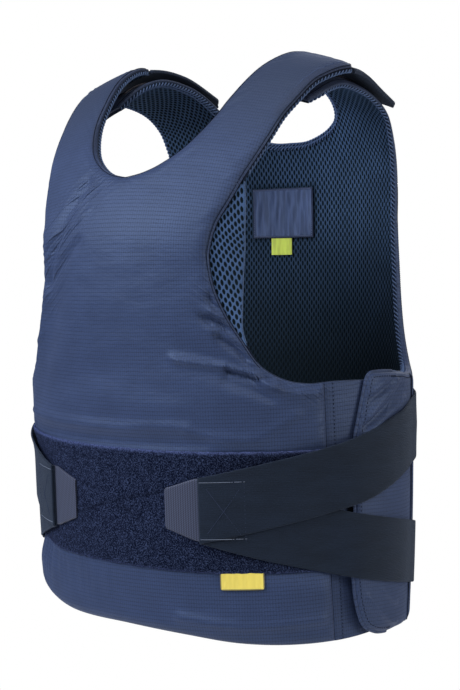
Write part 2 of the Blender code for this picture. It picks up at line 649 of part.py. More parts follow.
def build():
    """Clear the scene and make every piece."""
    for old in list(bpy.data.objects):
        bpy.data.objects.remove(old, do_unlink=True)
    ripstop = material("ripstop", NAVY, 0.45)
    mesh = material("spacer_mesh", MESH_NAVY, 0.80)
    loops = material("loop_pile", DARK_NAVY, 0.95)
    elastic = material("elastic", BLACK_NAVY, 0.85)
    hooks = material("hook_tab", TAB_GREY, 0.60)
    satin = material("satin_label", LABEL_NAVY, 0.50)
    green = material("green_tag", TAG_GREEN, 0.60)
    yellow = material("yellow_tag", TAG_YELLOW, 0.55)

    front, back = Form(FRONT_FORM, True), Form(BACK_FORM, False)
    add_front(front, ripstop, mesh)
    add_back(back, ripstop, mesh)
    field = rectangle((0.001 - SEAM_S, SEAM_S - 0.001), (LOOP_BOTTOM_V, LOOP_TOP_V), 41, 6)
    lay_on_front("loop_field", front, field, LOOP_THICK, loops)
    lay_on_front("front_tag", front, rectangle(FRONT_TAG_S, FRONT_TAG_V, 4, 3), LABEL_THICK, yellow)
    girth = Girth(front, back)
    for side, word in ((1, "left"), (-1, "right")):
        add_tab(f"hook_tab_{word}", girth, side, hooks)
        add_band(f"elastic_lower_{word}", girth, side, LOWER_BAND, LOWER_BAND_LIFT, elastic)
        add_band(f"elastic_upper_{word}", girth, side, UPPER_BAND, UPPER_BAND_LIFT, elastic)
        add_tongue(f"shoulder_tongue_{word}", front, side, elastic)
        add_shoulder_loop(f"shoulder_loop_{word}", back, side, loops)
    add_inside_label("back_label", back, LABEL_S, LABEL_V, satin)
    add_inside_label("size_tag", back, SIZE_TAG_S, SIZE_TAG_V, green)


build()
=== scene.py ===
"""Looks of a soft concealable body armour vest, as it hangs on a wearer who isn't shown.

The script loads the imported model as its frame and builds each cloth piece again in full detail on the
same pattern. Pattern place s runs across the body from the centre line, v runs up the centre line from
the hem, and w is the distance outwards from the form of the chest or of the back. All sizes are metres.
"""

import logging
import math
from collections.abc import Callable
from dataclasses import dataclass, field
from enum import Enum

import bpy
import numpy as np
from numpy.typing import ArrayLike, NDArray
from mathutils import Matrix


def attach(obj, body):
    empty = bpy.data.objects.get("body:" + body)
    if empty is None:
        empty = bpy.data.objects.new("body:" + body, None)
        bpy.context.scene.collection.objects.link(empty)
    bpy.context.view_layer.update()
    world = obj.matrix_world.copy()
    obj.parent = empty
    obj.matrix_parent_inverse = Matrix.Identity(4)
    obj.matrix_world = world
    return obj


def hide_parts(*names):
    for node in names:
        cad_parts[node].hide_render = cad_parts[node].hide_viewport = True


Array = NDArray[np.float64]
Ints = NDArray[np.int64]
Rows = list[tuple[float, ...]]
Lines = list[tuple[float, float, Rows]]
Range = tuple[float, float]
Sizes = tuple[float, float, float]
Colour = tuple[float, float, float]
Part = tuple[Array, list[Array]]
Material = bpy.types.Material
Socket = bpy.types.NodeSocket

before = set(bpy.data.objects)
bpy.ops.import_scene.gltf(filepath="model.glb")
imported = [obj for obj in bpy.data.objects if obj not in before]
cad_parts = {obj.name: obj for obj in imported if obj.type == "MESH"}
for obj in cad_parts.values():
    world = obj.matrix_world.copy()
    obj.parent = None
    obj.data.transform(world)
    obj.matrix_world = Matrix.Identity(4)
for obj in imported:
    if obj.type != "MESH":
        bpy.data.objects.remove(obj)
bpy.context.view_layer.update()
LOG = logging.getLogger("vest")

# Form of the chest: y, z, half width of the section, its depth, its roundness
FRONT_FORM: Rows = [
    (-0.127, -0.560, 0.186, 0.132, 2.10), (-0.136, -0.470, 0.190, 0.138, 2.10),
    (-0.141, -0.380, 0.191, 0.138, 2.10), (-0.148, -0.300, 0.190, 0.138, 2.05),
    (-0.154, -0.230, 0.190, 0.136, 2.00), (-0.152, -0.179, 0.195, 0.128, 2.00),
    (-0.132, -0.128, 0.205, 0.116, 2.00), (-0.109, -0.088, 0.215, 0.105, 2.00),
    (-0.081, -0.051, 0.225, 0.101, 2.00), (-0.044, -0.017, 0.235, 0.109, 2.00),
    (-0.0085, -0.0014, 0.240, 0.114, 2.00), (0.020, 0.001, 0.240, 0.121, 2.00),
    (0.046, -0.004, 0.240, 0.125, 2.00), (0.076, -0.0155, 0.240, 0.128, 2.00),
    (0.107, -0.027, 0.240, 0.132, 2.00),
]
# Form of the back, same columns
BACK_FORM: Rows = [
    (0.120, -0.560, 0.188, 0.125, 2.50), (0.124, -0.470, 0.190, 0.128, 2.50),
    (0.1255, -0.380, 0.190, 0.128, 2.50), (0.1260, -0.300, 0.190, 0.125, 2.40),
    (0.1270, -0.230, 0.190, 0.122, 2.40), (0.1270, -0.180, 0.195, 0.118, 2.30),
    (0.1255, -0.128, 0.205, 0.112, 2.20), (0.1185, -0.078, 0.215, 0.110, 2.00),
    (0.1010, -0.044, 0.225, 0.120, 2.00), (0.0715, -0.0242, 0.235, 0.131, 2.00),
    (0.038, -0.0150, 0.240, 0.137, 2.00), (0.005, -0.0130, 0.240, 0.143, 2.00),
    (-0.030, -0.0255, 0.238, 0.152, 2.00), (-0.054, -0.0480, 0.230, 0.162, 2.00),
    (-0.074, -0.0710, 0.225, 0.165, 2.00),
]
# Hem of the front: s, v
FRONT_HEM: Rows = [
    (-0.240, 0.030), (-0.147, 0.024), (-0.080, 0.017), (0.000, 0.016),
    (0.065, 0.011), (0.110, 0.005), (0.200, 0.000), (0.240, 0.000),
]
# Upright lines of the front's right half: s at the hem, s and v at the top
FRONT_BODY: Rows = [
    (0.000, 0.000, 0.4360), (0.020, 0.020, 0.4212), (0.041, 0.040, 0.4064), (0.062, 0.060, 0.3916),
    (0.083, 0.080, 0.3768), (0.104, 0.100, 0.3620), (0.118, 0.103, 0.3360), (0.132, 0.113, 0.3080),
    (0.146, 0.125, 0.2850), (0.159, 0.142, 0.2580), (0.173, 0.163, 0.2440), (0.187, 0.184, 0.2390),
    (0.197, 0.197, 0.2390), (0.207, 0.207, 0.2390), (0.224, 0.224, 0.2380), (0.241, 0.241, 0.2360),
]
# Lines across the front's strap: s and v at the neck's edge, s and v at the armhole's edge
FRONT_STRAP: Rows = [
    (0.000, 0.436, 0.100, 0.362), (0.018, 0.440, 0.105, 0.393), (0.034, 0.448, 0.113, 0.418),
    (0.051, 0.463, 0.120, 0.443), (0.063, 0.482, 0.127, 0.466), (0.072, 0.504, 0.133, 0.491),
    (0.077, 0.526, 0.137, 0.515), (0.082, 0.550, 0.143, 0.541), (0.087, 0.575, 0.148, 0.570),
    (0.092, 0.602, 0.156, 0.602), (0.0945, 0.620, 0.159, 0.623), (0.0975, 0.633, 0.152, 0.633),
]
# Upright lines of the back's right half and wing: s and v at the hem, s and v at the top
BACK_BODY: Rows = [
    (0.0000, 0.004, 0.0000, 0.4820), (0.0286, 0.004, 0.0286, 0.4664), (0.0572, 0.004, 0.0572, 0.4508),
    (0.0860, 0.004, 0.0858, 0.4352), (0.1150, 0.005, 0.1144, 0.4196), (0.1450, 0.005, 0.1430, 0.4040),
    (0.1560, 0.006, 0.1480, 0.3600), (0.1670, 0.006, 0.1540, 0.3170), (0.1790, 0.007, 0.1640, 0.2830),
    (0.1920, 0.007, 0.1790, 0.2600), (0.2050, 0.007, 0.1970, 0.2510), (0.2200, 0.007, 0.2150, 0.2490),
    (0.2380, 0.007, 0.2350, 0.2510), (0.2560, 0.006, 0.2560, 0.2520), (0.2740, 0.008, 0.2765, 0.2522),
    (0.2890, 0.016, 0.2890, 0.2495), (0.2990, 0.037, 0.2950, 0.2330), (0.3045, 0.065, 0.3045, 0.1970),
]
# Lines across the back's strap, same columns as the front's
BACK_STRAP: Rows = [
    (0.000, 0.482, 0.143, 0.404), (0.022, 0.483, 0.143, 0.437), (0.044, 0.490, 0.144, 0.466),
    (0.060, 0.499, 0.146, 0.491), (0.070, 0.510, 0.147, 0.510), (0.075, 0.530, 0.147, 0.530),
    (0.077, 0.553, 0.146, 0.553), (0.078, 0.577, 0.145, 0.577), (0.079, 0.602, 0.144, 0.602),
    (0.081, 0.627, 0.143, 0.627), (0.084, 0.648, 0.142, 0.648), (0.089, 0.667, 0.139, 0.667),
    (0.099, 0.683, 0.131, 0.683),
]
# Inner side of the back's cloth over the front's flap: s, w
WING_PATH: Rows = [(0.000, 0.0033), (0.190, 0.0033), (0.210, 0.0040), (0.230, 0.0058),
                   (0.252, 0.0080), (0.275, 0.0080), (0.294, 0.0046), (0.313, 0.0000)]
# How the mesh rolls out at the armhole, line by line up it: width, depth back
ARMHOLE_ROLL: Rows = [(0.000, 0.0000), (0.003, 0.0025), (0.014, 0.0090), (0.025, 0.0140),
                      (0.029, 0.0160), (0.0230, 0.0130), (0.0125, 0.0070), (0.000, 0.0000)]
# The lines of a body that end on its strap's first line come first. The last of them is this one
ROOF_LINES = 5
# Where the front's pad ends at its flap, and where the back's pad ends at its wing
SEAM_S = 0.197
BACK_PAD_S = 0.205
# Lengths that count as none: for a division, for two places, and for the roll of the mesh
TINY = 1e-12
CLOSE = 1e-6
LEAST_ROLL = 1e-5
# How deep the rim of a mesh hole lies, where 1 is the bottom of the hole
HOLE_RIM_DEPTH = 0.22
WHITE: Colour = (1.0, 1.0, 1.0)
# Factors on the heights of folds and creases and on the creases' widths, and heights of small waves
FOLD_STRENGTH = 1.4
CREASE_STRENGTH = 1.8
CREASE_SPREAD = 0.85
PUCKER_HEIGHT = 0.00042
GATHER_HEIGHT = 0.00050
# How far the taut bands press the pad in
CINCH_DEPTH = 0.0060
# Where it comes in across the half, where up it, and where it ends
CINCH_S = (0.080, 0.135)
CINCH_LOW = (0.050, 0.080)
CINCH_HIGH = (0.165, 0.195)
# Puckers beside the seams: length of a wave, its swing and how slow that is, the depth from the edge
# where they are highest and how far they spread there, and the height where they begin
PUCKER_WAVES = (0.0105, 2.2, 0.23)
PUCKER_DEPTH = (0.006, 0.009)
PUCKERS_ABOVE = 0.20
# Gathers under the loop field: their waves, where they come in up the front and end across it
GATHER_WAVES = (0.0125, 1.8, 0.31, 1.0)
GATHER_V = (0.022, 0.060)
GATHER_S = (-0.05, 0.02)
GATHERS_BELOW = 0.0772
# Upright waves of a label: how many, their shift, how far they bend, how often and from where, their share
LABEL_WAVES: Rows = [(7.0, 0.0, 0.3, 5.0, 0.0, 0.6), (11.0, 0.7, 0.2, 4.0, 1.0, 0.4)]


def run_length(path: Array) -> Array:
    """Distance along a line of points from its start to each of them."""
    return np.append(0.0, np.cumsum(np.linalg.norm(np.diff(path, axis=0), axis=1)))


def unit(vectors: Array) -> Array:
    """The same directions with length 1."""
    return vectors / np.maximum(np.linalg.norm(vectors, axis=-1, keepdims=True), TINY)


def smooth_line(stations: Array, columns: Array, query: Array) -> Array:
    """Read each column of a table as a smooth curve over the same stations."""
    return np.stack([smooth_through(stations, column, query) for column in columns.T], axis=1)


def smooth_through(stations: ArrayLike, values: ArrayLike, query: ArrayLike) -> Array:
    """Read a smooth curve through given values: cubics whose slopes come from both neighbours.

    Args:
        stations: increasing places of the given values.
        values: the values there.
        query: the places to read at.

    Returns:
        The curve's value at each place of query.
    """
    x, y = np.asarray(stations, float), np.asarray(values, float)
    q = np.clip(query, x[0], x[-1])
    step = np.diff(x)
    rise = np.diff(y) / step
    slope = np.empty(len(x))
    slope[1:-1] = (rise[:-1] * step[1:] + rise[1:] * step[:-1]) / (step[:-1] + step[1:])
    slope[0] = 1.5 * rise[0] - 0.5 * slope[1]
    slope[-1] = 1.5 * rise[-1] - 0.5 * slope[-2]
    i = np.clip(np.searchsorted(x, q, side="right") - 1, 0, len(x) - 2)
    t = (q - x[i]) / step[i]
    start = (1 + 2 * t) * (1 - t) ** 2 * y[i] + t * (1 - t) ** 2 * step[i] * slope[i]
    end = t * t * (3 - 2 * t) * y[i + 1] + t * t * (t - 1) * step[i] * slope[i + 1]
    return start + end


def smooth_rows(rows: Rows, steps: int) -> Array:
    """Read extra lines between the rows of a table, so many to each interval.

    Args:
        rows: the table.
        steps: how many parts each interval is divided into.

    Returns:
        The table with the lines in between.
    """
    table = np.array(rows)
    count = len(table)
    return smooth_line(np.arange(count), table, np.linspace(0.0, count - 1.0, (count - 1) * steps + 1))


def read_grid(points: Array, normals: Array, row: Array, column: Array) -> tuple[Array, Array]:
    """Mix a point and a direction from the four grid points round each place.

    Args:
        points: the grid's points.
        normals: the grid's directions.
        row: places along its rows, counted in rows.
        column: places along its columns.

    Returns:
        The points and the directions.
    """
    i = np.clip(np.floor(row), 0, points.shape[0] - 2).astype(int)
    j = np.clip(np.floor(column), 0, points.shape[1] - 2).astype(int)
    a, b = (row - i)[..., None], (column - j)[..., None]
    corners = ((i, j, (1 - a) * (1 - b)), (i + 1, j, a * (1 - b)),
               (i, j + 1, (1 - a) * b), (i + 1, j + 1, a * b))
    point, normal = (sum(grid[p, q] * share for p, q, share in corners) for grid in (points, normals))
    return point, normal


def ease(value: ArrayLike, low: float, high: float) -> Array:
    """Rise smoothly from 0 at low to 1 at high."""
    t = np.clip((np.asarray(value, float) - low) / (high - low), 0.0, 1.0)
    return t * t * (3.0 - 2.0 * t)


def bump(value: ArrayLike, middle: float, half: float) -> Array:
    """A bell that is 1 at the middle and fades out over a half width."""
    return np.exp(-((np.asarray(value, float) - middle) / half) ** 2)


class Form:
    """The body surface that one half of the vest lies on.

    Each section is a quarter of a rounded box, mirrored about the centre line: across goes as
    sin(a) to the power 2/roundness and inwards as 1 - cos(a) to the same power. Past the quarter the
    surface runs straight on round the wearer's side.
    """

    V_STEPS = 520
    S_STEPS = 681
    PATH_STEPS = 2000
    ARC_STEPS = 300
    S_REACH = 0.34

    def __init__(self, rows: Rows, faces_front: bool) -> None:
        """Work out the surface's points and normals on an even grid of v and s.

        Args:
            rows: the table of sections.
            faces_front: whether outwards is towards -Y.
        """
        table = np.array(rows)
        chord = run_length(table[:, :2])
        fine = np.linspace(0.0, chord[-1], self.PATH_STEPS)
        length = run_length(smooth_line(chord, table[:, :2], fine))
        self.v = np.linspace(0.0, length[-1], self.V_STEPS)
        y, z, half, depth, power = smooth_line(chord, table, np.interp(self.v, length, fine)).T
        ty, tz = np.gradient(y, self.v), np.gradient(z, self.v)
        outwards = 1.0 if faces_front else -1.0
        ny, nz = -outwards * tz / np.hypot(ty, tz), outwards * ty / np.hypot(ty, tz)
        self.s = np.linspace(-self.S_REACH, self.S_REACH, self.S_STEPS)
        self.points = np.stack([self._section(*row) for row in zip(y, z, half, depth, power, ny, nz)])
        across = np.gradient(self.points, self.s, axis=1)
        along = np.gradient(self.points, self.v, axis=0)
        self.normals = unit(np.cross(across, along) * outwards)
        middle = self.points[:, self.S_STEPS // 2, 2]
        top = int(np.argmax(middle))
        self.rise = (middle[:top + 1], self.v[:top + 1])

    def _section(self, y: float, z: float, half: float, depth: float, power: float,
                 ny: float, nz: float) -> Array:
        """One section as points evenly spaced along its own arc.

        Args:
            y: place of the centre path.
            z: its height.
            half: half width of the section.
            depth: its depth.
            power: its roundness.
            ny: outward direction along y.
            nz: outward direction along z.

        Returns:
            The points, one for each s.
        """
        angle = np.linspace(0.0, np.pi / 2, self.ARC_STEPS)
        across = half * np.sin(angle) ** (2.0 / power)
        inwards = depth * (1.0 - np.cos(angle) ** (2.0 / power))
        arc = run_length(np.stack([across, inwards], axis=1))
        reach = np.abs(self.s)
        x = np.interp(reach, arc, across) * np.sign(self.s)
        drop = np.interp(reach, arc, inwards) + np.maximum(reach - arc[-1], 0.0)
        return np.stack([x, y - ny * drop, z - nz * drop], axis=1)

    def place(self, s: ArrayLike, v: ArrayLike, w: ArrayLike) -> Array:
        """Lay pattern points on the form.

        Args:
            s: places across.
            v: places up the centre line.
            w: distances outwards.

        Returns:
            The points in space, with x, y and z as the last axis.
        """
        s, v, w = np.broadcast_arrays(*(np.asarray(value, float) for value in (s, v, w)))
        row = (v - self.v[0]) / (self.v[1] - self.v[0])
        column = np.clip((s - self.s[0]) / (self.s[1] - self.s[0]), 0.0, len(self.s) - 1.001)
        point, normal = read_grid(self.points, self.normals, row, column)
        return point + unit(normal) * w[..., None]

    def v_at_height(self, z: float) -> float:
        """Distance up the centre path at which it first reaches a height."""
        return float(np.interp(z, *self.rise))


Run = tuple[Form, Array, ArrayLike]


def weld(points: Array) -> tuple[Array, Ints]:
    """Points that lie in one place become one: the points that stay, and each old point's new number.

    Args:
        points: the points.

    Returns:
        The points that stay, and each old point's new number.
    """
    key = np.round(points * 1e6).astype(np.int64)
    _, first, index = np.unique(key, axis=0, return_index=True, return_inverse=True)
    return points[first], index.reshape(-1)


def quads_of(n: Ints) -> Ints:
    """The faces of a grid of point numbers."""
    return np.stack([n[:-1, :-1], n[:-1, 1:], n[1:, 1:], n[1:, :-1]], -1).reshape(-1, 4)


class Pattern:
    """A flat cut of cloth: welded pattern points and the faces between them."""

    def __init__(self, grids: list[Array]) -> None:
        """Weld grids of pattern points. A face that has shrunk to a triangle stays as one.

        Args:
            grids: arrays of rows, columns and (s, v). All run the same way round.
        """
        self.points, index = weld(np.concatenate([grid.reshape(-1, 2) for grid in grids]))
        ends = np.cumsum([grid.shape[0] * grid.shape[1] for grid in grids])[:-1]
        parts = zip(np.split(index, ends), grids)
        every = np.concatenate([quads_of(part.reshape(grid.shape[:2])) for part, grid in parts])
        own = every != np.roll(every, 1, axis=1)
        count = own.sum(axis=1)
        three = count == 3
        self.faces = [every[count == 4], every[three][own[three]].reshape(-1, 3)]

    def rim(self) -> Ints:
        """Edges that only one face uses, each in that face's own order.

        Returns:
            Pairs of point numbers.
        """
        every = np.concatenate([np.stack([f[:, k], f[:, (k + 1) % f.shape[1]]], 1)
                                for f in self.faces for k in range(f.shape[1])])
        count = len(self.points)
        return every[~np.isin(every @ [count, 1], every @ [1, count])]


def ruled(start: Array, end: Array, portions: ArrayLike) -> Array:
    """A grid of points on straight lines from each start point to its end point."""
    share = np.asarray(portions)[None, :, None]
    return start[:, None] * (1.0 - share) + end[:, None] * share


def mirrored(lines: Array) -> Array:
    """Put the lines of the right half on the left as well, in order from left to right."""
    return np.concatenate([lines[:0:-1] * np.array([-1.0, 1.0]), lines])


def make_piece(name: str, points: Array, faces: list[Array], finish: Material,
               pattern: Array | None = None, values: dict[str, Array] | None = None,
               sharp: float = 50.0) -> bpy.types.Object:
    """Put a finished surface into the scene as one object at the origin, facing outwards.

    Args:
        name: the piece's name.
        points: its points.
        faces: arrays of faces, each array with its own number of corners.
        finish: its material.
        pattern: each point's place on the pattern in metres, kept as a UV map.
        values: further named numbers for each point, kept as attributes.
        sharp: angle in degrees past which an edge stays sharp.

    Returns:
        The new object.
    """
    mesh = bpy.data.meshes.new(name)
    sizes = np.concatenate([np.full(len(f), f.shape[1]) for f in faces])
    corners = np.concatenate([f.reshape(-1) for f in faces])
    mesh.vertices.add(len(points))
    mesh.vertices.foreach_set("co", np.asarray(points, np.float32).ravel())
    mesh.loops.add(len(corners))
    mesh.loops.foreach_set("vertex_index", corners.astype(np.int32))
    mesh.polygons.add(len(sizes))
    mesh.polygons.foreach_set("loop_start", np.append(0, np.cumsum(sizes)[:-1]).astype(np.int32))
    if pattern is not None:
        layer = mesh.uv_layers.new(name="pattern")
        layer.data.foreach_set("uv", np.asarray(pattern, np.float32)[corners].ravel())
    for key, value in (values or {}).items():
        attribute = mesh.attributes.new(key, "FLOAT", "POINT")
        attribute.data.foreach_set("value", np.asarray(value, np.float32))
    mesh.update(calc_edges=True)
    mesh.validate()
    mesh.shade_smooth()
    mesh.set_sharp_from_angle(angle=math.radians(sharp))
    mesh.materials.append(finish)
    made = bpy.data.objects.new(name, mesh)
    bpy.context.scene.collection.objects.link(made)
    return made


def close_up(pattern: Pattern, inner: Array, outer: Array) -> Part:
    """Close a pattern into a solid: its inner side, its outer side and a wall round its rim.

    Args:
        pattern: the flat cut.
        inner: its points on the inner side.
        outer: its points on the outer side.

    Returns:
        All points, and arrays of faces that point outwards.
    """
    count = len(pattern.points)
    rim = pattern.rim()
    wall = np.stack([rim[:, 0], rim[:, 1], rim[:, 1] + count, rim[:, 0] + count], 1)
    points = np.concatenate([inner, outer])
    faces = [wall, *(f[:, ::-1] for f in pattern.faces), *(f + count for f in pattern.faces)]
    volume = 0.0
    for f in faces:
        for k in range(1, f.shape[1] - 1):
            a, b, c = points[f[:, 0]], points[f[:, k]], points[f[:, k + 1]]
            volume += float(np.einsum("ij,ij->", a, np.cross(b, c)))
    return points, [f[:, ::-1] for f in faces] if volume < 0 else faces


def cloth_piece(name: str, cut: Pattern, inner: Array, outer: Array, finish: Material,
                values: dict[str, Array] | None = None, sharp: float = 50.0) -> bpy.types.Object:
    """Close a cut of cloth into one piece whose two sides share the same pattern places and numbers.

    Args:
        name: the piece's name.
        cut: the flat cut.
        inner: its points on the inner side.
        outer: its points on the outer side.
        finish: its material.
        values: further named numbers for each place on the pattern.
        sharp: angle in degrees past which an edge stays sharp.

    Returns:
        The new object.
    """
    points, faces = close_up(cut, inner, outer)
    both = {key: np.tile(value, 2) for key, value in (values or {}).items()}
    return make_piece(name, points, faces, finish, np.tile(cut.points, (2, 1)), both, sharp)


def evenly(path: Array, spacing: float) -> Array:
    """Read a line of points again at an even spacing along its length.

    Args:
        path: the line's points, with any further columns.
        spacing: distance between the new points.

    Returns:
        The new points.
    """
    length = run_length(path)
    at = np.linspace(0.0, length[-1], max(2, int(round(length[-1] / spacing)) + 1))
    return np.stack([np.interp(at, length, column) for column in path.T], axis=1)


def axes_along(path: Array, outwards: Array) -> tuple[Array, Array, Array]:
    """Unit directions at each point of a line: along it, to its side, and up from the cloth.

    Args:
        path: the line.
        outwards: unit direction away from the cloth at each of its points.

    Returns:
        The three directions.
    """
    along = unit(np.gradient(path, axis=0))
    side = unit(np.cross(along, outwards))
    return along, side, np.cross(side, along)


def circle(sides: int) -> Array:
    """Angles of a ring's points."""
    return np.arange(sides) * 2.0 * np.pi / sides


def piping(path: Array, outwards: Array, half_width: float, half_height: float,
           sides: int = 8) -> Part:
    """Carry an oval along a line: its points are a·cos and b·sin round each point of the line.

    Args:
        path: the middle of the cord.
        outwards: unit direction away from the cloth at each point.
        half_width: half its size along the cloth.
        half_height: half its size away from the cloth.
        sides: points round the oval.

    Returns:
        The points, and arrays of faces.
    """
    _, side, up = axes_along(path, outwards)
    angle = circle(sides)
    ring = (side[:, None] * (half_width * np.cos(angle))[None, :, None]
            + up[:, None] * (half_height * np.sin(angle))[None, :, None])
    n = np.arange(len(path) * sides).reshape(len(path), sides)
    a, b = n[:-1], n[1:]
    faces = np.stack([a, np.roll(a, -1, 1), np.roll(b, -1, 1), b], -1).reshape(-1, 4)
    return (path[:, None] + ring).reshape(-1, 3), [faces, n[:1, ::-1], n[-1:]]


def stitches(path: Array, outwards: Array, length: float, pitch: float, width: float,
             rise: float = 0.00015) -> Part:
    """A row of thread stitches: each is a short bead whose two ends dip into the cloth.

    Args:
        path: the seam's line.
        outwards: unit direction away from the cloth at each of its points.
        length: one stitch's length.
        pitch: distance from one stitch to the next.
        width: the thread's thickness.
        rise: how far the middle of a stitch stands off the line.

    Returns:
        The points, and arrays of faces.
    """
    both = evenly(np.concatenate([path, outwards], axis=1), pitch)
    middle, up = both[:, :3], unit(both[:, 3:])
    along = unit(np.gradient(middle, axis=0))
    side = np.cross(along, up)
    sides, stations = 6, np.array([-0.36, 0.0, 0.36])
    t, a = (g.ravel() for g in np.meshgrid(stations, circle(sides), indexing="ij"))
    thick = width / 2.0 * (1.0 - 0.9 * t * t)
    rings = np.stack([t * length, thick * np.cos(a), thick * np.sin(a) + rise * (1.0 - 6.0 * t * t)], 1)
    poles = np.array([[-length / 2.0, 0.0, -rise], [length / 2.0, 0.0, -rise]])
    bead = np.concatenate([rings, poles])
    points = middle[:, None] + np.einsum("ka,nad->nkd", bead, np.stack([along, side, up], axis=1))
    n = np.arange(3 * sides).reshape(3, sides)
    quads = np.stack([n[:-1], n[1:], np.roll(n[1:], -1, 1), np.roll(n[:-1], -1, 1)], -1).reshape(-1, 4)
    low = np.stack([np.full(sides, 3 * sides), n[0], np.roll(n[0], -1)], 1)
    high = np.stack([np.full(sides, 3 * sides + 1), np.roll(n[2], -1), n[2]], 1)
    start = (np.arange(len(middle)) * len(bead))[:, None, None]
    return points.reshape(-1, 3), [(quads[None] + start).reshape(-1, 4),
                                   (np.concatenate([low, high])[None] + start).reshape(-1, 3)]


def joined(parts: list[Part]) -> Part:
    """Put several sets of points and faces together as one.

    Args:
        parts: points and faces of each.

    Returns:
        All points, and arrays of faces.
    """
    points, faces, start = [], [], 0
    for p, f in parts:
        points.append(p)
        faces += [group + start for group in f]
        start += len(p)
    return np.concatenate(points), faces


def scaled(colour: Colour, factor: float) -> Colour:
    """A colour made darker or lighter."""
    return tuple(c * factor for c in colour)


